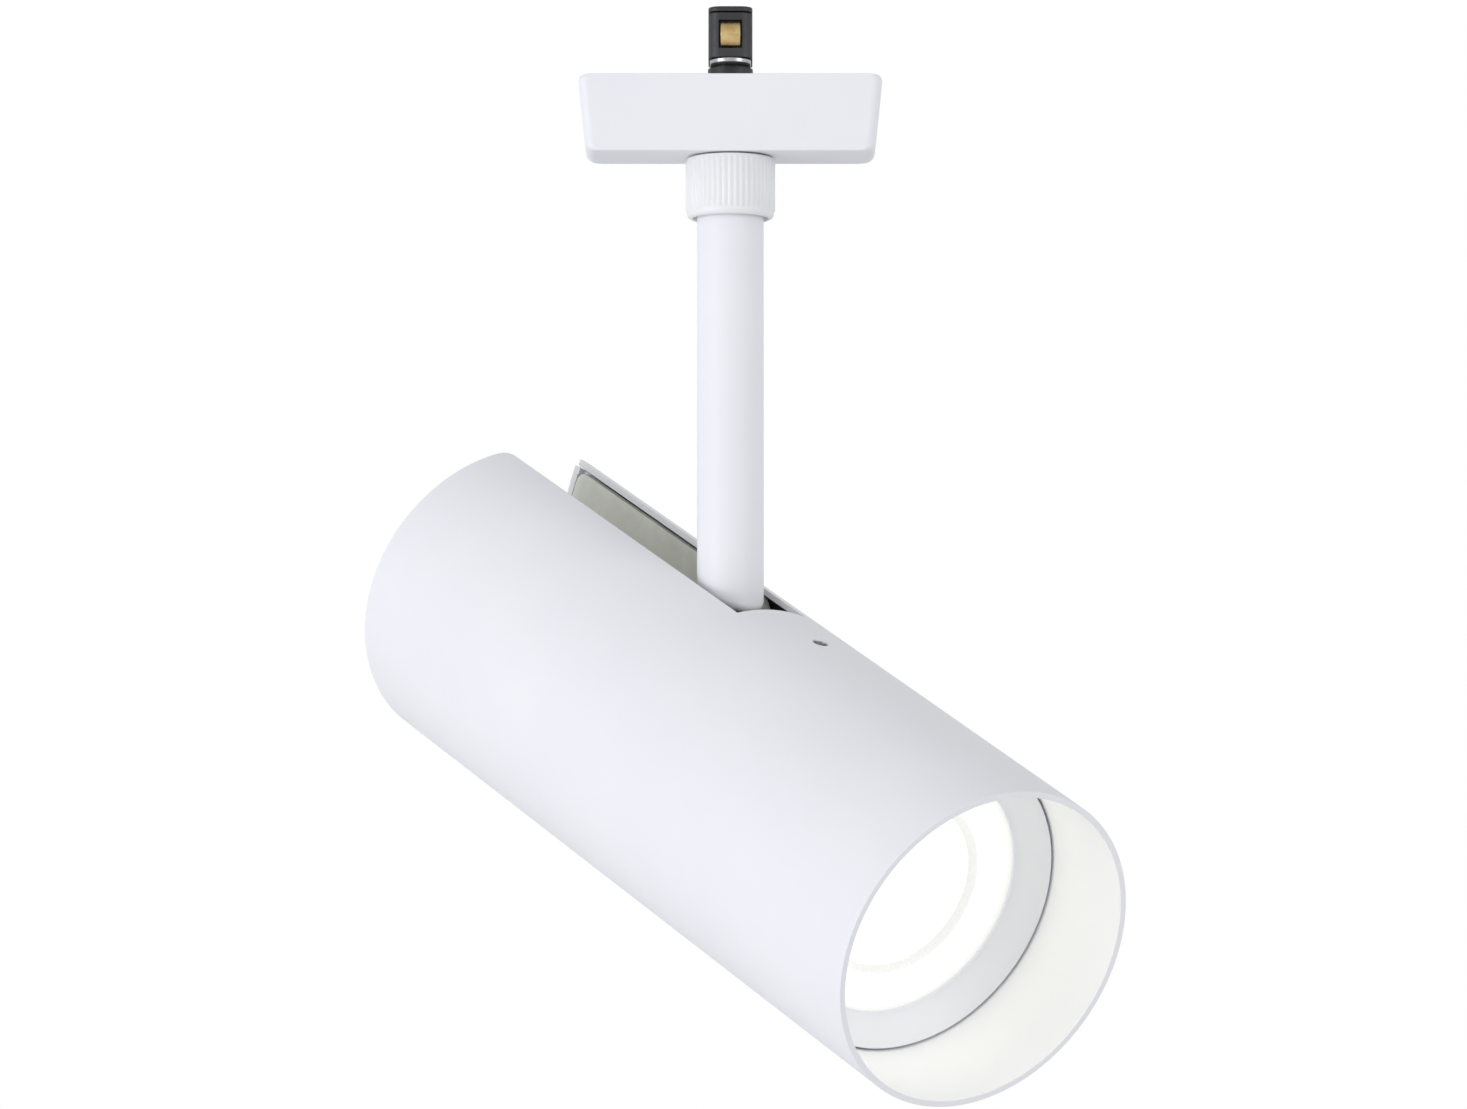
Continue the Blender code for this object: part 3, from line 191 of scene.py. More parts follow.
def boolean(obj, others, operation="DIFFERENCE"):
    """Cuts or joins helpers, which are then removed."""
    for other in others:
        modifier = obj.modifiers.new("shape", "BOOLEAN")
        modifier.operation = operation
        modifier.solver = "EXACT"
        modifier.object = other
    graph = bpy.context.evaluated_depsgraph_get()
    mesh = bpy.data.meshes.new_from_object(obj.evaluated_get(graph))
    obj.modifiers.clear()
    obj.data = mesh
    for other in others:
        bpy.data.objects.remove(other, do_unlink=True)
    return obj


def soften(obj, width, steps=2):
    """Rounds the sharp edges and lets the large faces keep their own shading."""
    bevel = obj.modifiers.new("edges", "BEVEL")
    bevel.width = width
    bevel.segments = steps
    bevel.limit_method = "ANGLE"
    bevel.angle_limit = math.radians(40.0)
    bevel.use_clamp_overlap = True
    graph = bpy.context.evaluated_depsgraph_get()
    mesh = bpy.data.meshes.new_from_object(obj.evaluated_get(graph))
    obj.modifiers.clear()
    obj.data = mesh
    return even(obj)


def even(obj, sharp=40.0):
    """Weighted normals, so that flat faces look flat beside rounded edges."""
    obj.data.shade_smooth()
    obj.data.set_sharp_from_angle(angle=math.radians(sharp))
    weighted = obj.modifiers.new("normals", "WEIGHTED_NORMAL")
    weighted.keep_sharp = True
    return obj


# ---- Materials ----


class Look:
    """A material's node tree, with short ways to add nodes to it."""

    def __init__(self, name):
        self.material = bpy.data.materials.new(name)
        self.material.use_nodes = True
        self.tree = self.material.node_tree
        self.shader = self.tree.nodes["Principled BSDF"]
        coordinates = self.tree.nodes.new("ShaderNodeTexCoord")
        self.place = coordinates.outputs["Object"]

    def link(self, output, target):
        self.tree.links.new(output, target)

    def noise(self, scale, detail=3.0, roughness=0.5):
        node = self.tree.nodes.new("ShaderNodeTexNoise")
        node.inputs["Scale"].default_value = scale
        node.inputs["Detail"].default_value = detail
        node.inputs["Roughness"].default_value = roughness
        self.link(self.place, node.inputs["Vector"])
        return node.outputs["Fac"]

    def cells(self, scale):
        """Distance from the middles of small cells."""
        node = self.tree.nodes.new("ShaderNodeTexVoronoi")
        node.inputs["Scale"].default_value = scale
        self.link(self.place, node.inputs["Vector"])
        return node.outputs["Distance"]

    def span(self, value, low, high, start=0.3, end=0.7):
        """Turns a value between start and end into one between low and high."""
        node = self.tree.nodes.new("ShaderNodeMapRange")
        node.inputs["From Min"].default_value = start
        node.inputs["From Max"].default_value = end
        node.inputs["To Min"].default_value = low
        node.inputs["To Max"].default_value = high
        self.link(value, node.inputs["Value"])
        return node.outputs["Result"]

    def blend(self, share, first, second):
        node = self.tree.nodes.new("ShaderNodeMix")
        node.data_type = "RGBA"
        self.link(share, node.inputs["Factor"])
        for socket, colour in ((node.inputs[6], first), (node.inputs[7], second)):
            if isinstance(colour, tuple):
                socket.default_value = (*colour, 1.0)
            else:
                self.link(colour, socket)
        return node.outputs[2]

    def bump(self, height, distance, strength=1.0, under=None):
        node = self.tree.nodes.new("ShaderNodeBump")
        node.inputs["Strength"].default_value = strength
        node.inputs["Distance"].default_value = distance
        self.link(height, node.inputs["Height"])
        if under:
            self.link(under, node.inputs["Normal"])
        return node.outputs["Normal"]

    def from_axis(self):
        """Distance from the head's axis."""
        offset = self.tree.nodes.new("ShaderNodeVectorMath")
        offset.operation = "SUBTRACT"
        offset.inputs[1].default_value = HEAD.translation
        self.link(self.place, offset.inputs[0])
        cross = self.tree.nodes.new("ShaderNodeVectorMath")
        cross.operation = "CROSS_PRODUCT"
        cross.inputs[1].default_value = ALONG
        self.link(offset.outputs["Vector"], cross.inputs[0])
        length = self.tree.nodes.new("ShaderNodeVectorMath")
        length.operation = "LENGTH"
        self.link(cross.outputs["Vector"], length.inputs[0])
        return length.outputs["Value"]

    def ramp(self, value, size, stops):
        """Grey levels along a value that runs from 0 to size."""
        node = self.tree.nodes.new("ShaderNodeValToRGB")
        self.link(self.span(value, 0, 1, 0, size), node.inputs["Fac"])
        ends = node.color_ramp.elements
        for spot, _ in stops[1:-1]:
            ends.new(spot / size)
        for element, (spot, level) in zip(ends, stops):
            element.position = spot / size
            element.color = (level, level, level, 1)
        return node.outputs["Color"]

    def set(self, **values):
        for name, value in values.items():
            socket = self.shader.inputs[name.replace("_", " ")]
            if isinstance(value, bpy.types.NodeSocket):
                self.link(value, socket)
            else:
                socket.default_value = value
        return self.material


def powder_coat():
    """Matte white powder: a fine orange peel with a little tooth, and faint drift in tone."""
    look = Look("white powder coat")
    peel = look.noise(1500, 2.0, 0.5)
    tooth = look.noise(6000, 2.0, 0.6)
    drift = look.noise(35, 3.0)
    normal = look.bump(tooth, 0.006 * MM, 0.6, look.bump(peel, 0.02 * MM, 0.6))
    colour = look.blend(look.span(drift, 0, 1), (0.826, 0.828, 0.866), (0.848, 0.85, 0.882))
    rough = look.span(look.noise(400, 3.0), 0.42, 0.52)
    return look.set(Base_Color=colour, Roughness=rough, Normal=normal, Specular_IOR_Level=0.35)


def moulded(name, dark, light, rough, texture=900):
    """Satin moulded plastic with spark-eroded texture."""
    look = Look(name)
    grain = look.noise(texture * 3, 2.0, 0.6)
    drift = look.noise(60, 2.0)
    normal = look.bump(grain, 0.012 * MM, 0.7)
    colour = look.blend(look.span(drift, 0, 1), dark, light)
    roughness = look.span(look.noise(texture, 2.0), rough - 0.05, rough + 0.06)
    return look.set(Base_Color=colour, Roughness=roughness, Normal=normal)


def zinc_sheet():
    """Dull zinc plate: soft mottling, a fine grain, dark specks and pale spangles."""
    look = Look("zinc-plated sheet")
    cloud = look.noise(160, 4.0, 0.6)
    spangle = look.cells(420)
    grain = look.noise(900, 3.0, 0.6)
    mottled = look.blend(look.span(cloud, 0, 1), (0.71, 0.72, 0.66), (0.81, 0.82, 0.765))
    spot = look.span(spangle, 1, 0, 0.05, 0.6)
    specks = look.span(look.noise(3000, 2.0), 0, 0.25, 0.4, 0.7)
    tone = look.blend(specks, mottled, (0.64, 0.645, 0.605))
    colour = look.blend(look.span(spot, 0, 0.2, 0, 1), tone, (0.86, 0.86, 0.82))
    normal = look.bump(grain, 0.01 * MM, 0.7)
    rough = look.span(cloud, 0.42, 0.6)
    return look.set(Base_Color=colour, Metallic=0.25, Roughness=rough, Normal=normal)


def metal(name, dark, light, rough):
    """Plated or stamped metal with fine tool marks and patchy sheen."""
    look = Look(name)
    marks = look.noise(2000, 3.0, 0.7)
    cloud = look.noise(500, 3.0)
    colour = look.blend(look.span(cloud, 0, 1), dark, light)
    normal = look.bump(marks, 0.006 * MM, 0.8)
    roughness = look.span(cloud, rough - 0.06, rough + 0.1)
    return look.set(Base_Color=colour, Metallic=1.0, Roughness=roughness, Normal=normal)


def ceramic():
    """Unglazed steatite: chalky, with fine pores."""
    look = Look("steatite")
    pores = look.cells(2500)
    cloud = look.noise(200, 4.0)
    colour = look.blend(look.span(cloud, 0, 1), (0.78, 0.75, 0.69), (0.86, 0.84, 0.79))
    normal = look.bump(pores, 0.02 * MM, 0.5)
    return look.set(Base_Color=colour, Roughness=0.7, Normal=normal)


def lit_lens():
    """The lit prismatic lens: a bright centre, a dimmer ribbed step and fine prisms."""
    look = Look("lit prismatic lens")
    away = look.from_axis()
    prisms = look.cells(1300)
    ramp = look.ramp(away, 28 * MM, LENS_GLOW)
    glow = look.blend(look.span(prisms, 0, 1, 0.1, 0.7), (1.0, 1.0, 0.985), (0.985, 0.985, 0.96))
    normal = look.bump(prisms, 0.05 * MM, 0.6)
    look.set(Base_Color=look.blend(look.span(prisms, 0, 1), (0.2, 0.2, 0.19), (0.24, 0.24, 0.23)))
    return look.set(Roughness=0.25, Normal=normal, Emission_Color=glow, Emission_Strength=ramp)


def led_board():
    """White solder mask with a yellow phosphor field."""
    look = Look("led board")
    dots = look.cells(420)
    field = look.span(dots, 0, 1, 0.25, 0.35)
    colour = look.blend(field, (0.9, 0.72, 0.2), (0.88, 0.88, 0.84))
    normal = look.bump(dots, 0.05 * MM, 0.5)
    rough = look.span(look.noise(500), 0.4, 0.55)
    return look.set(Base_Color=colour, Roughness=rough, Normal=normal)


def earth_core():
    """Green insulation with a yellow stripe wound round it."""
    look = Look("earth core")
    wave = look.tree.nodes.new("ShaderNodeTexWave")
    wave.inputs["Scale"].default_value = 180
    wave.inputs["Distortion"].default_value = 0.5
    look.link(look.place, wave.inputs["Vector"])
    stripe = look.span(wave.outputs["Fac"], 0, 1, 0.45, 0.55)
    colour = look.blend(stripe, (0.03, 0.3, 0.06), (0.75, 0.62, 0.04))
    normal = look.bump(look.noise(2000), 0.006 * MM, 0.6)
    return look.set(Base_Color=colour, Roughness=0.45, Normal=normal)


# How brightly the lens glows at distances from its middle.
LENS_GLOW = [
    (0.0, 0.95), (16.3 * MM, 0.95), (16.6 * MM, 0.7), (17.7 * MM, 0.73), (17.9 * MM, 0.86),
    (20.5 * MM, 0.89), (23.8 * MM, 0.82), (24.6 * MM, 0.76),
]

MATERIALS = {
    "white_coat": powder_coat(),
    "white_plastic": moulded(
        "white moulded plastic", (0.82, 0.824, 0.845), (0.845, 0.847, 0.86), 0.4
    ),
    "black_plastic": moulded(
        "black glass-filled plastic", (0.022, 0.022, 0.024), (0.04, 0.04, 0.042), 0.48, 700
    ),
    "zinc_sheet": zinc_sheet(),
    "bright_steel": metal("zinc-plated steel", (0.46, 0.47, 0.48), (0.62, 0.62, 0.62), 0.28),
    "brass": metal("stamped brass", (0.68, 0.47, 0.18), (0.82, 0.62, 0.3), 0.26),
    "ceramic": ceramic(),
    "lens": lit_lens(),
    "led_board": led_board(),
    "cable_sheath": moulded("cable sheath", (0.66, 0.66, 0.66), (0.74, 0.74, 0.74), 0.5, 500),
    "brown_core": moulded("brown core", (0.14, 0.05, 0.02), (0.2, 0.08, 0.035), 0.42, 500),
    "blue_core": moulded("blue core", (0.015, 0.08, 0.42), (0.03, 0.13, 0.52), 0.42, 500),
    "earth_core": earth_core(),
}


def add(piece, body, slot, *nodes):
    """Gives a piece its finish and its place in the frame."""
    piece.data.materials.clear()
    piece.data.materials.append(MATERIALS[slot])
    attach(piece, body)
    if nodes:
        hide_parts(*nodes)
    return piece


def dress_cad():
    """Every CAD node takes the finish of its own slot."""
    for part in frame["record"]["subparts"]:
        node = frame["nodes"][part["node"]]
        node.data.materials.clear()
        node.data.materials.append(MATERIALS[part["material_slot"]])


# ---- Head ----

TUBE_LOW, TUBE_HIGH = reach("head_tube", HEAD)
RADIUS = TUBE_HIGH.y
LENGTH = -TUBE_LOW.x
WALL = 1.2 * MM
BORE = RADIUS - WALL
SLOT_HALF = 0.26 * RADIUS
SLOT_CORNER = 2.5 * MM
SLOT_FRONT = -2.76 * RADIUS
GRUB_LOW, GRUB_HIGH = reach("grub_screw", HEAD)
GRUB_ALONG = (GRUB_LOW.x + GRUB_HIGH.x) / 2
GRUB_HOLE = 1.6 * MM


def slot_half(along):
    """Half the slot's width: it opens out with rounded corners at the rear rim."""
    rest = SLOT_CORNER - min(along + LENGTH, SLOT_CORNER)
    return SLOT_HALF + SLOT_CORNER - math.sqrt(max(SLOT_CORNER**2 - rest**2, 0))


def tube_ring(radius, half, around=176, bridge=10):
    """Angles from one slot edge right round to the other, then those that bridge the slot."""
    edge = math.asin(half / radius)
    wide = [edge + (math.tau - 2 * edge) * i / around for i in range(around + 1)]
    return wide, [-edge + 2 * edge * i / bridge for i in range(1, bridge)]


def head_shell():
    """The slotted tube, with its edges just broken and the hole for the set screw."""
    front_rows = [0, -2, -8, -20, -35, -50, -62, -68, -75, -80, -85]
    stations = [s * MM for s in front_rows] + [SLOT_FRONT]
    rear_count = 12
    straight = SLOT_CORNER - LENGTH - SLOT_FRONT
    stations += [SLOT_FRONT + straight * i / rear_count for i in range(1, rear_count + 1)]
    for turn in (15, 30, 45, 60, 90):
        stations.append(SLOT_CORNER * (1 - math.sin(math.radians(turn))) - LENGTH)
    slot_row = len(front_rows)
    verts = []
    index = {}
    faces = []

    def face(*corners):
        faces.append(tuple(index[corner] for corner in corners))

    for layer, radius in enumerate((RADIUS, BORE)):
        for row, s in enumerate(stations):
            wide, bridge = tube_ring(radius, slot_half(s))
            angles = wide + (bridge if row <= slot_row else [])
            for col, angle in enumerate(angles):
                index[layer, row, col] = len(verts)
                verts.append((s, radius * math.sin(angle), radius * math.cos(angle)))
    wide_count = len(wide)
    full = wide_count + len(bridge)
    last = len(stations) - 1
    for row in range(last):
        cols = full if row < slot_row else wide_count - 1
        for col in range(cols):
            n = (col + 1) % full
            for layer in (0, 1):
                face((layer, row, col), (layer, row, n), (layer, row + 1, n), (layer, row + 1, col))
    for col in range(full):
        n = (col + 1) % full
        face((0, 0, col), (0, 0, n), (1, 0, n), (1, 0, col))
    for col in range(wide_count - 1):
        face((0, last, col), (0, last, col + 1), (1, last, col + 1), (1, last, col))
    for row in range(slot_row, last):
        for col in (0, wide_count - 1):
            face((0, row, col), (0, row + 1, col), (1, row + 1, col), (1, row, col))
    for col in range(wide_count - 1, full):
        n = (col + 1) % full
        face((0, slot_row, col), (0, slot_row, n), (1, slot_row, n), (1, slot_row, col))
    shell = finish_mesh("head_shell", verts, faces, HEAD)
    start, end = (GRUB_ALONG, 0, 0.8 * RADIUS), (GRUB_ALONG, 0, 1.1 * RADIUS)
    hole = rod("hole", GRUB_HOLE, start, end, HEAD)
    boolean(shell, [hole])
    soften(shell, 0.22 * MM, 3)
    return add(shell, "head", "white_coat", "head_tube")


def cap_disc():
    """The cap in the tube's rear end, with a rounded rim, a notch for the channel and sunk screws."""
    low, high = reach("rear_cap", HEAD)
    rim = high.y
    rear, front = low.x, high.x
    sheet, skirt = 1.6 * MM, 1.2 * MM
    profile = rounded([
        (0, rear + sheet, 0),
        (rim - skirt, rear + sheet, 0.3 * MM),
        (rim - skirt, front, 0.2 * MM),
        (rim, front, 0.2 * MM),
        (rim, rear, 0.6 * MM),
        (0, rear, 0),
    ], closed=False)
    cap = turned("cap_disc", profile, HEAD, along_x=True, steps=160, closed=False)
    notch_half = SLOT_HALF + 0.48 * MM
    notch_floor = 12.3 * MM
    past = 5 * MM
    above = 40 * MM
    start, end = (rear - past, -notch_half, notch_floor), (front + past, notch_half, above)
    notch = box("notch", start, end, HEAD)
    relief_half = notch_half + 1.4 * MM
    start = (rear + sheet + 0.3 * MM, -relief_half, notch_floor - 0.3 * MM)
    relief = box("relief", start, (front + past, relief_half, above), HEAD)
    cutters = [notch, relief]
    bore, cone, depth = 1.5 * MM, 3.2 * MM, 3 * MM
    for word in ("left", "right"):
        middle = sum(reach("cap_screw_" + word, HEAD), Vector()) / 2
        sink = [(0, depth), (bore, depth), (bore, 1.2 * MM), (cone, -0.5 * MM), (0, -0.5 * MM)]
        place = HEAD @ Matrix.Translation((rear, middle.y, middle.z))
        cutters.append(turned("sink", sink, place, along_x=True, steps=48, closed=False))
    boolean(cap, cutters)
    soften(cap, 0.15 * MM, 2)
    return add(cap, "head", "white_coat", "rear_cap")


def socket_screw(name, node, body, place, facing, across):
    """A countersunk screw with a hexagonal socket; facing is +1 or -1 along the frame's axis."""
    low, high = reach(node, place)
    if across == "x":
        head_radius = (high.y - low.y) / 2
        end, tip = (high.x, low.x) if facing > 0 else (low.x, high.x)
        centre = Vector((0, (low.y + high.y) / 2, (low.z + high.z) / 2))
    else:
        head_radius = (high.x - low.x) / 2
        end, tip = (high.z, low.z) if facing > 0 else (low.z, high.z)
        centre = Vector(((low.x + high.x) / 2, (low.y + high.y) / 2, 0))
    shank = 0.45 * head_radius
    land = 0.25 * MM
    profile = rounded([
        (0, end, 0),
        (head_radius, end, 0.12 * MM),
        (head_radius, end - facing * land, 0),
        (shank, end - facing * (land + head_radius - shank), 0),
        (shank, tip + facing * 0.4 * MM, 0),
        (shank - 0.3 * MM, tip, 0),
        (0, tip, 0),
    ], closed=False, steps=3)
    spot = place @ Matrix.Translation(centre)
    screw = turned(name, profile, spot, along_x=across == "x", steps=48, closed=False)
    deep = facing * 0.8 * MM
    floor, clear = (0, 0, end - deep), (0, 0, end + deep)
    if across == "x":
        floor, clear = (end - deep, 0, 0), (end + deep, 0, 0)
    boolean(screw, [rod("socket", 0.5 * head_radius, floor, clear, spot, 6)])
    soften(screw, 0.06 * MM, 1)
    return add(screw, body, "bright_steel", node)


def set_screw():
    """The set screw, its socket at the bottom of a thin steel cup that lines the hole."""
    lining = (GRUB_HIGH.y - GRUB_LOW.y) / 2 + 0.25 * MM
    lip = GRUB_HIGH.z + 0.65 * MM
    floor = GRUB_HIGH.z - 1.6 * MM
    place = HEAD @ Matrix.Translation((GRUB_ALONG, 0, 0))
    profile = rounded([
        (0, floor, 0),
        (lining - 0.3 * MM, floor, 0.1 * MM),
        (lining - 0.25 * MM, lip, 0.05 * MM),
        (lining, lip, 0.05 * MM),
        (lining, GRUB_LOW.z, 0.3 * MM),
        (0, GRUB_LOW.z, 0),
    ], closed=False)
    screw = turned("set_screw", profile, place, steps=48, closed=False)
    start, end = (0, 0, floor - 1.2 * MM), (0, 0, floor + 1 * MM)
    boolean(screw, [rod("socket", 0.75 * MM, start, end, place, 6)])
    even(screw)
    return add(screw, "head", "bright_steel", "grub_screw")


# ---- Lamp and baffle ring ----

LENS_CENTRE = 16.5 * MM
LENS_STEP = 17.8 * MM
CENTRE_DEPTH = 2.6 * MM
STEP_DEPTH = 1.3 * MM
LAMP_POWER = 0.005


def baffle_ring():
    """The ring that closes the bore in front of the lamp: a short step, then a cone down to the lens."""
    low, high = reach("retaining_ring", HEAD)
    rim = high.y
    front, rear = high.x, low.x
    snap = sum(reach("snap_wire", HEAD), Vector()).x / 2
    face = reach("lamp_body", HEAD)[1].x
    lip = reach("lamp_body", HEAD)[1].y - 0.4 * MM
    groove = rim - 0.65 * MM
    groove_half = 0.6 * MM
    thick = 1.4 * MM
    profile = rounded([
        (rim - 0.2 * MM, front, 0.1 * MM),
        (rim, front - 0.25 * MM, 0.1 * MM),
        (rim, snap + groove_half, 0),
        (groove, snap + groove_half, 0),
        (groove, snap - groove_half, 0),
        (rim, snap - groove_half, 0),
        (rim, rear, 0.2 * MM),
        (rim - thick, rear, 0.2 * MM),
        (rim - thick, front - 2.6 * MM, 0),
        (lip, face + 0.3 * MM, 0.1 * MM),
        (lip, face + 1.1 * MM, 0.3 * MM),
    ])
    ring = turned("baffle_ring", profile, HEAD, along_x=True, steps=192)
    return add(even(ring), "lamp_ring", "white_coat", "retaining_ring")


def lens_height(radius, angle, size):
    """Height of the lens over its face: a sunk centre, a ribbed step and rising rings of prisms."""
    if radius < LENS_CENTRE:
        return 0.35 * MM * (1 - (radius / LENS_CENTRE) ** 2) - CENTRE_DEPTH
    if radius < LENS_STEP:
        share = (radius - LENS_CENTRE) / (LENS_STEP - LENS_CENTRE)
        rib = 0.12 * MM * math.sin(math.pi * share) * math.cos(120 * angle)
        return (CENTRE_DEPTH - STEP_DEPTH) * share - CENTRE_DEPTH + rib
    share = (radius - LENS_STEP) / (size - LENS_STEP)
    prism = 0.16 * MM * abs(math.sin(math.pi * 5 * share)) * (0.6 + 0.4 * math.cos(72 * angle))
    return 1.5 * MM * share - STEP_DEPTH - prism


def lens_dish():
    """The lens, with a flange over the rim of the lamp's cup and the light that it sends out."""
    low, high = reach("lamp_lens", HEAD)
    size = reach("lamp_body", HEAD)[1].y - 0.1 * MM
    body = high.y
    face = high.x + 0.3 * MM
    around = 360
    radii = [0.02 * MM, 3 * MM, 6 * MM, 9 * MM, 12 * MM, 14.5 * MM, 16.2 * MM]
    radii += [LENS_CENTRE + (LENS_STEP - LENS_CENTRE) * i / 6 for i in range(7)]
    radii += [LENS_STEP + (size - LENS_STEP) * i / 30 for i in range(1, 31)]
    rings = []
    for radius in radii:
        ring = []
        for k, (x, y, z) in enumerate(circle(radius, face, around, along_x=True)):
            ring.append((x + lens_height(radius, math.tau * k / around, size), y, z))
        rings.append(ring)
    flange = face - 0.9 * MM
    back = [(size, flange), (body, flange), (body, face - 4.6 * MM)]
    back += [(0.62 * body, low.x), (0.02 * MM, low.x)]
    rings += [circle(radius, height, around, along_x=True) for radius, height in back]
    lens = skin("lens_dish", rings, HEAD, closed=False, sharp=50)
    start = HEAD @ Vector((face + 1.2 * MM, 0, 0))
    glow = area_light("lamp_glow", start, start + ALONG, 46 * MM, LAMP_POWER, (1.0, 0.99, 0.66))
    glow.visible_camera = False
    glow.parent = lens
    return add(lens, "lamp", "lens", "lamp_lens")


def lamp_shell():
    """The lamp's body: a cup for the lens, a taper and the base with its pin seats."""
    low, high = reach("lamp_body", HEAD)
    rim = high.y
    face, base = high.x, low.x
    lens = reach("lamp_lens", HEAD)[1].y + 0.3 * MM
    lip = face - 1.0 * MM
    cup_floor = face - 8.4 * MM
    stub = 12.5 * MM
    profile = rounded([
        (0, cup_floor, 0),
        (21.2 * MM, cup_floor, 0.3 * MM),
        (lens, face - 5.6 * MM, 0.3 * MM),
        (lens, lip, 0.1 * MM),
        (rim, lip, 0.2 * MM),
        (rim, face - 4.3 * MM, 0.8 * MM),
        (23.4 * MM, face - 9 * MM, 2 * MM),
        (20.6 * MM, face - 17 * MM, 3 * MM),
        (17.0 * MM, face - 27 * MM, 3 * MM),
        (14.2 * MM, face - 36 * MM, 2 * MM),
        (stub, face - 39 * MM, 0.5 * MM),
        (stub, base, 0.4 * MM),
        (0, base, 0),
    ], closed=False)
    shell = turned("lamp_shell", profile, HEAD, along_x=True, steps=144, closed=False)
    seats = []
    for word in ("left", "right"):
        pin = sum(reach("lamp_pin_" + word, HEAD), Vector()) / 2
        start, end = (base - 2 * MM, pin.y, 0), (base + 5 * MM, pin.y, 0)
        seats.append(rod("seat", 1.8 * MM, start, end, HEAD, 32))
    boolean(shell, seats)
    return add(even(shell), "lamp", "white_plastic", "lamp_body")


# ---- Stem and lock ring ----

CUT = 9.0 * MM
STEM_WALL = 2.3 * MM
STEM_FOOT_ROUND = 2.1 * MM
RING_BORE = 6.2 * MM
RING_RECESS = 7.4 * MM
RECESS_TOP = -18.2 * MM
RIM_ROUND = 0.95 * MM


def slant(x, y):
    """Height of the stem's slanted end, which lies parallel to the head."""
    return PIVOT.z + (CUT - x * UP.x - y * UP.y) / UP.z


def stem_pole():
    """The stem: a tube with a broken top edge and a slanted, rounded foot."""
    low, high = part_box("stem_tube")
    radius = (high.x - low.x) / 2
    bore = radius - STEM_WALL
    top = high.z
    turn = STEM_FOOT_ROUND
    rows = [(bore, None, top - 0.2 * MM), (bore + 0.2 * MM, None, top), (radius - 0.4 * MM, None, top)]
    rows += [(radius - 0.12 * MM, None, top - 0.12 * MM), (radius, None, top - 0.4 * MM)]
    rows += [(radius, None, top - 20 * MM), (radius, None, top - 45 * MM), (radius, None, top - 65 * MM)]
    steps = 8
    for i in range(steps + 1):
        angle = math.pi / 2 * i / steps
        rows.append((radius - turn + turn * math.cos(angle), turn - turn * math.sin(angle), None))
    rows.append((bore, 0.0, None))
    around = 144
    rings = []
    for r, lift, height in rows:
        ring = circle(r, height, around)
        if lift is not None:
            ring = [(x, y, slant(x, y) + lift) for x, y, _ in ring]
        rings.append(ring)
    pole = skin("stem_pole", rings, PART)
    return add(even(pole), "stem", "white_coat", "stem_tube")


def grip_ring():
    """The ribbed ring under the adapter: soft fine ribs between a plain top edge and a rounded rim."""
    low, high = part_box("lock_ring")
    ribs = 48
    rib = 0.25 * MM
    radius = (high.x - low.x) / 2 - rib
    top, bottom = high.z, low.z
    turn = RIM_ROUND
    rows = [(RING_BORE, top, 0), (radius - 0.4 * MM, top, 0)]
    rows += [(radius - 0.12 * MM, top - 0.12 * MM, 0), (radius, top - 0.4 * MM, 0)]
    rows += [(radius, top - 0.45 * MM, 0), (radius, top - 0.75 * MM, 1)]
    rows += [(radius, (top + bottom) / 2, 1)]
    rows += [(radius, bottom + 1.6 * MM, 1), (radius, bottom + 1.35 * MM, 0)]
    for i in range(7):
        angle = math.pi / 2 * i / 6
        out = radius - turn + turn * math.cos(angle)
        rows.append((out, bottom + turn - turn * math.sin(angle), 0))
    rows += [(RING_RECESS + 0.1 * MM, bottom, 0), (RING_RECESS, bottom + 0.1 * MM, 0)]
    rows += [(RING_RECESS, RECESS_TOP, 0), (RING_BORE, RECESS_TOP, 0)]
    around = ribs * 8
    rings = []
    for r, height, share in rows:
        ring = []
        for k in range(around):
            angle = math.tau * k / around
            wave = (0.5 + 0.5 * math.cos(ribs * angle)) ** 0.6
            out = r + share * rib * wave
            ring.append((out * math.cos(angle), out * math.sin(angle), height))
        rings.append(ring)
    ring = skin("grip_ring", rings, PART, sharp=60)
    return add(ring, "lock", "white_plastic", "lock_ring")


# ---- Adapter ----

ROTOR_BORE = 6.6 * MM
COVER_SCREW_AT = 21 * MM
HOUSING_WIDTH = 1.856 * RADIUS
END_TAPER = 0.096 * RADIUS
FRONT_TAPER = 2.4 * MM
HOUSING_FLOOR = 1.7 * MM
END_WALL = 3.0 * MM
FRONT_WALL = 1.4 * MM


def rounded_rectangle(width, depth, corner, height, steps=8):
    """Points round a rectangle with rounded corners, at a height."""
    points = []
    corner = min(corner, width / 2, depth / 2)
    for cx, cy, start in ((1, 1, 0), (-1, 1, 1), (-1, -1, 2), (1, -1, 3)):
        for k in range(steps + 1):
            angle = math.pi / 2 * (start + k / steps)
            x = cx * (width / 2 - corner) + corner * math.cos(angle)
            y = cy * (depth / 2 - corner) + corner * math.sin(angle)
            points.append((x, y, height))
    return points


def fillet(radius, height):
    """How far a rounded lower edge draws in at a height above the bottom."""
    height = max(height, 0.0)
    if height >= radius:
        return 0.0
    return radius - math.sqrt(radius**2 - (radius - height) ** 2)


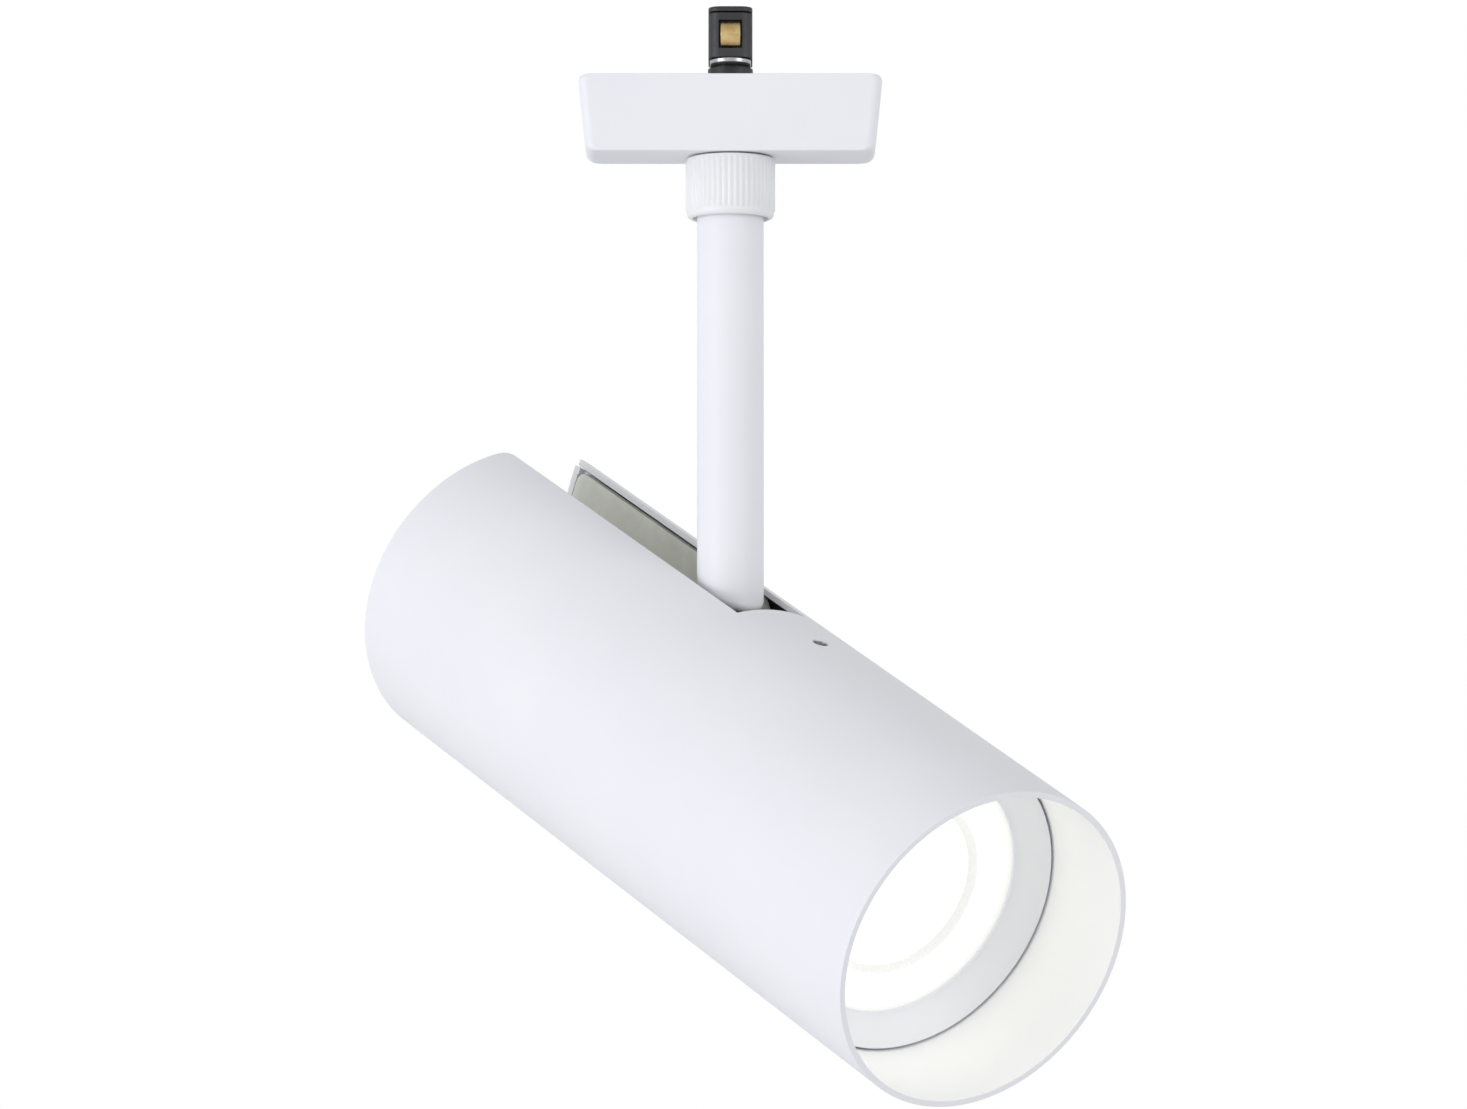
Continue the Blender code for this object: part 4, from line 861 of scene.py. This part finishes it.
def adapter_shell():
    """The adapter's housing: it tapers downwards, with a crisp lower edge and rounded ends."""
    low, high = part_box("adapter_housing")
    tall = high.z - low.z
    deep = high.y - low.y
    ends, front, top = 1.7 * MM, 0.35 * MM, 1.5 * MM

    def ring(height, corner, end_wall=0.0, wall=0.0):
        share = (tall - height) / tall
        x = HOUSING_WIDTH - END_TAPER * share - 2 * end_wall - 2 * fillet(ends, height)
        y = deep - FRONT_TAPER * share - 2 * wall - 2 * fillet(front, height)
        if not end_wall:
            x -= 2 * fillet(top, tall - height)
            y -= 2 * fillet(0.2 * MM, tall - height)
        return rounded_rectangle(x, y, corner, low.z + height)

    heights = [0, 0.03, 0.1, 0.2, 0.35, 0.6, 0.9, 1.3, 1.7, 4, 8, 12, 13.5, 13.8, 14.1, 14.4, 14.65]
    heights += [14.8, 14.88, 14.95, 14.99, 15]
    body = skin("adapter_shell", [ring(h * MM, 1.9 * MM) for h in heights], PART, closed=False)
    levels = (HOUSING_FLOOR, 6 * MM, 10 * MM, 15 * MM)
    inner = [ring(height, 0.9 * MM, END_WALL, FRONT_WALL) for height in levels]
    inner.append([(x, y, z + 2 * MM) for x, y, z in inner[-1]])
    hollow = skin("hollow", inner, PART, closed=False)
    bore = rod("bore", ROTOR_BORE, (0, 0, low.z - 2 * MM), (0, 0, low.z + 5 * MM), PART, 64)
    boolean(body, [hollow, bore])
    for side in (-1, 1):
        x = side * COVER_SCREW_AT
        boss = rod("boss", 2.7 * MM, (x, 0, low.z + 1 * MM), (x, 0, -1.9 * MM), PART, 32)
        boolean(body, [boss], "UNION")
        pilot = rod("pilot", 1.2 * MM, (x, 0, -9.5 * MM), (x, 0, 0), PART, 24)
        boolean(body, [pilot])
    return add(even(body, 50), "adapter", "white_coat", "adapter_housing")


def adapter_lid():
    """The cover in the top of the housing, with sunk screw holes and the bore for the rotor."""
    low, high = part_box("adapter_cover")
    size = high - low
    levels = [(low.z, 0.2 * MM), (low.z + 0.2 * MM, 0), (high.z - 0.25 * MM, 0)]
    levels += [(high.z - 0.07 * MM, 0.07 * MM), (high.z, 0.25 * MM)]
    rings = []
    for height, inset in levels:
        rings.append(rounded_rectangle(size.x - 2 * inset, size.y - 2 * inset, 1.2 * MM, height))
    lid = skin("adapter_lid", rings, PART, closed=False)
    cutters = [rod("bore", ROTOR_BORE, (0, 0, low.z - 2 * MM), (0, 0, high.z + 2 * MM), PART, 96)]
    hole, cone, depth = 1.5 * MM, 3.2 * MM, -4 * MM
    for side in (-1, 1):
        sink = [(0, 0.5 * MM), (cone, 0.5 * MM), (hole, -1.2 * MM), (hole, depth), (0, depth)]
        place = Matrix.Translation((side * COVER_SCREW_AT, 0, 0))
        cutters.append(turned("sink", sink, place, steps=48, closed=False))
    boolean(lid, cutters)
    return add(even(lid), "adapter", "white_plastic", "adapter_cover")


# ---- Insert that locks in the track ----

WELL_FLOOR = 5.4 * MM
CORE_HOLE = 0.9 * MM


def insert_body():
    """The insulating body: a block with a well for the leads, on a neck that turns in the housing."""
    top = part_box("contact_insert")[1].z
    half_x, half_y = 4.3 * MM, 7.2 * MM
    start, end = (-half_x, -half_y, 3.7 * MM), (half_x, half_y, top)
    head = box("insert_body", start, end, PART, corner=2.4 * MM)
    profile = [
        (3.7, 5.0), (3.7, 2.3), (4.4, 2.3), (4.4, -0.1), (6.2, -0.1), (6.2, -1.6), (4.8, -1.6),
        (4.8, -3.9), (3.6, -3.9), (3.6, -1.9), (2.5, -1.9), (2.5, 5.0),
    ]
    neck = turned("neck", [(r * MM, z * MM) for r, z in profile], PART, steps=64)
    boolean(head, [neck], "UNION")
    start, end = (-2.7 * MM, -4.4 * MM, WELL_FLOOR), (2.7 * MM, 4.4 * MM, 14 * MM)
    cutters = [
        box("well", start, end, PART, corner=0.4 * MM),
        rod("riser", 2.5 * MM, (0, 0, 0.5 * MM), (0, 0, 6 * MM), PART, 48),
        rod("earth", CORE_HOLE, (1.5 * MM, 0, 3 * MM), (5 * MM, 0, 3 * MM), PART, 24),
    ]
    for side in (-1, 1):
        near, far = sorted((side * 5.7 * MM, side * 9 * MM))
        start, end = (-2.3 * MM, near, WELL_FLOOR), (2.3 * MM, far, 11 * MM)
        cutters.append(box("pocket", start, end, PART))
        start, end = (0, side * 4 * MM, 6.6 * MM), (0, side * 6 * MM, 6.6 * MM)
        cutters.append(rod("lead", CORE_HOLE, start, end, PART, 24))
    boolean(head, cutters)
    soften(head, 0.14 * MM, 2)
    return add(head, "lock", "black_plastic", "contact_insert")


def insert_top():
    """The insert's cap: a plate with a plug that fits in the well."""
    low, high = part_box("insert_cap")
    plate = high.z - 1.0 * MM
    plug_x, plug_y = 2.4 * MM, 4.1 * MM
    top = box("insert_top", (low.x, low.y, plate), high, PART, corner=2.4 * MM)
    plug = box("plug", (-plug_x, -plug_y, low.z), (plug_x, plug_y, plate + 0.3 * MM), PART)
    boolean(top, [plug], "UNION")
    soften(top, 0.25 * MM, 3)
    return add(top, "lock", "black_plastic", "insert_cap")


def strip_contact(name, node, side):
    """A bowed strip of brass with rounded edges."""
    low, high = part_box(node)
    thick = 0.5 * MM
    inner, bow = 6.4 * MM, 1.5 * MM
    half = (high.x - low.x) / 2
    count = 24
    rows = []
    for i in range(count + 1):
        share = i / count
        z = low.z + (high.z - low.z) * share
        rows.append((inner + bow * math.sin(math.pi * share), z))
    soft = 0.12 * MM
    section = [(-half, soft), (-half + soft, 0), (half - soft, 0), (half, soft)]
    section += [(half, thick - soft), (half - soft, thick), (-half + soft, thick), (-half, thick - soft)]
    rings = [[(x, side * (y + t), z) for x, t in section] for y, z in rows]
    strip = skin(name, rings, PART, closed=False, sharp=60)
    return add(even(strip, 60), "lock", "brass", node)


def lock_wings():
    """The steel plate whose ends rest on the track's lips."""
    low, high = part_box("lock_plate")
    end = (high.x - low.x) / 2
    far = (high.y - low.y) / 2 - end
    outer = []
    for centre, start in ((far, 0.0), (-far, math.pi)):
        for k in range(33):
            angle = start + math.pi * k / 32
            outer.append((end * math.cos(angle), centre + end * math.sin(angle)))
    soft = 0.1 * MM
    rings = []
    for z, inset in ((low.z, soft), (low.z + soft, 0), (high.z - soft, 0), (high.z, soft)):
        scale_x, scale_y = 1 - inset / end, 1 - inset / (far + end)
        rings.append([(x * scale_x, y * scale_y, z) for x, y in outer])
    wings = skin("lock_wings", rings, PART, closed=False)
    neck = 3.95 * MM
    boolean(wings, [rod("hole", neck, (0, 0, 0), (0, 0, 6 * MM), PART, 64)])
    return add(even(wings), "lock", "bright_steel", "lock_plate")


# ---- Stage ----

FLOOR_SIZE = 14.0
FLOOR_HEIGHT = -0.85
WORLD_SIDES = 0.775
WORLD_POLES = 0.555
AIM = (0, 0, -0.12)
FOCAL_LENGTH = 185.9
CAMERA_PLACE = (0.0006, -1.464, -0.2469)
CAMERA_TIP_UP = 6.0


def area_light(name, location, target, size, power, colour=(1, 1, 1)):
    light = bpy.data.lights.new(name, "AREA")
    light.shape = "DISK"
    light.size = size
    light.energy = power
    light.color = colour
    obj = bpy.data.objects.new(name, light)
    obj.location = location
    obj.rotation_euler = (Vector(target) - Vector(location)).to_track_quat("-Z", "Y").to_euler()
    bpy.context.scene.collection.objects.link(obj)
    return obj


def pale_floor():
    """A plain floor well below the part."""
    spots = ((-1, -1), (1, -1), (1, 1), (-1, 1))
    corners = [(x * FLOOR_SIZE, y * FLOOR_SIZE, FLOOR_HEIGHT) for x, y in spots]
    floor = finish_mesh("floor", corners, [(0, 1, 2, 3)], PART)
    look = Look("pale floor")
    tone = look.span(look.noise(3.0, 3.0), 0, 1)
    colour = look.blend(tone, (0.9, 0.9, 0.9), (0.92, 0.92, 0.92))
    floor.data.materials.append(look.set(Base_Color=colour, Roughness=0.9))


def white_world():
    """Even light, weaker from above and below; the background itself is plain white."""
    world = bpy.data.worlds.new("studio")
    bpy.context.scene.world = world
    world.use_nodes = True
    tree = world.node_tree
    light = tree.nodes["Background"]
    light.inputs["Color"].default_value = (0.985, 0.99, 1.0, 1.0)
    direction = tree.nodes.new("ShaderNodeTexCoord")
    parts = tree.nodes.new("ShaderNodeSeparateXYZ")
    square = tree.nodes.new("ShaderNodeMath")
    square.operation = "MULTIPLY"
    level = tree.nodes.new("ShaderNodeMapRange")
    level.inputs["To Min"].default_value = WORLD_SIDES
    level.inputs["To Max"].default_value = WORLD_POLES
    tree.links.new(direction.outputs["Generated"], parts.inputs["Vector"])
    tree.links.new(parts.outputs["Z"], square.inputs[0])
    tree.links.new(parts.outputs["Z"], square.inputs[1])
    tree.links.new(square.outputs["Value"], level.inputs["Value"])
    tree.links.new(level.outputs["Result"], light.inputs["Strength"])
    seen = tree.nodes.new("ShaderNodeBackground")
    seen.inputs["Color"].default_value = (1, 1, 1, 1)
    seen.inputs["Strength"].default_value = 1.0
    path = tree.nodes.new("ShaderNodeLightPath")
    mix = tree.nodes.new("ShaderNodeMixShader")
    tree.links.new(path.outputs["Is Camera Ray"], mix.inputs["Fac"])
    tree.links.new(light.outputs["Background"], mix.inputs[1])
    tree.links.new(seen.outputs["Background"], mix.inputs[2])
    tree.links.new(mix.outputs["Shader"], tree.nodes["World Output"].inputs["Surface"])


def camera():
    """A long lens a little below the object, tipped up towards it."""
    data = bpy.data.cameras.new("camera")
    data.sensor_width = 36.0
    data.lens = FOCAL_LENGTH
    data.clip_start = 0.05
    data.clip_end = 60.0
    obj = bpy.data.objects.new("camera", data)
    obj.location = CAMERA_PLACE
    obj.rotation_euler = (math.radians(90.0 + CAMERA_TIP_UP), 0, 0)
    bpy.context.scene.collection.objects.link(obj)
    bpy.context.scene.camera = obj


# ---- Build ----

dress_cad()
head_shell()
cap_disc()
set_screw()
socket_screw("cap_bolt_left", "cap_screw_left", "head", HEAD, -1, "x")
socket_screw("cap_bolt_right", "cap_screw_right", "head", HEAD, -1, "x")
socket_screw("lid_screw_left", "cover_screw_left", "adapter", PART, 1, "z")
socket_screw("lid_screw_right", "cover_screw_right", "adapter", PART, 1, "z")
baffle_ring()
lens_dish()
lamp_shell()
stem_pole()
grip_ring()
adapter_shell()
adapter_lid()
insert_body()
insert_top()
strip_contact("live_strip", "live_contact", 1)
strip_contact("neutral_strip", "neutral_contact", -1)
lock_wings()

pale_floor()
white_world()
area_light("key", (-1.95, -1.3, -0.15), AIM, 1.4, 20, (0.94, 0.955, 1.0))
area_light("fill", (1.5, -1.2, 0.2), AIM, 1.0, 5.5, (0.97, 0.98, 1.0))
camera()
bpy.context.scene.view_settings.view_transform = "Standard"
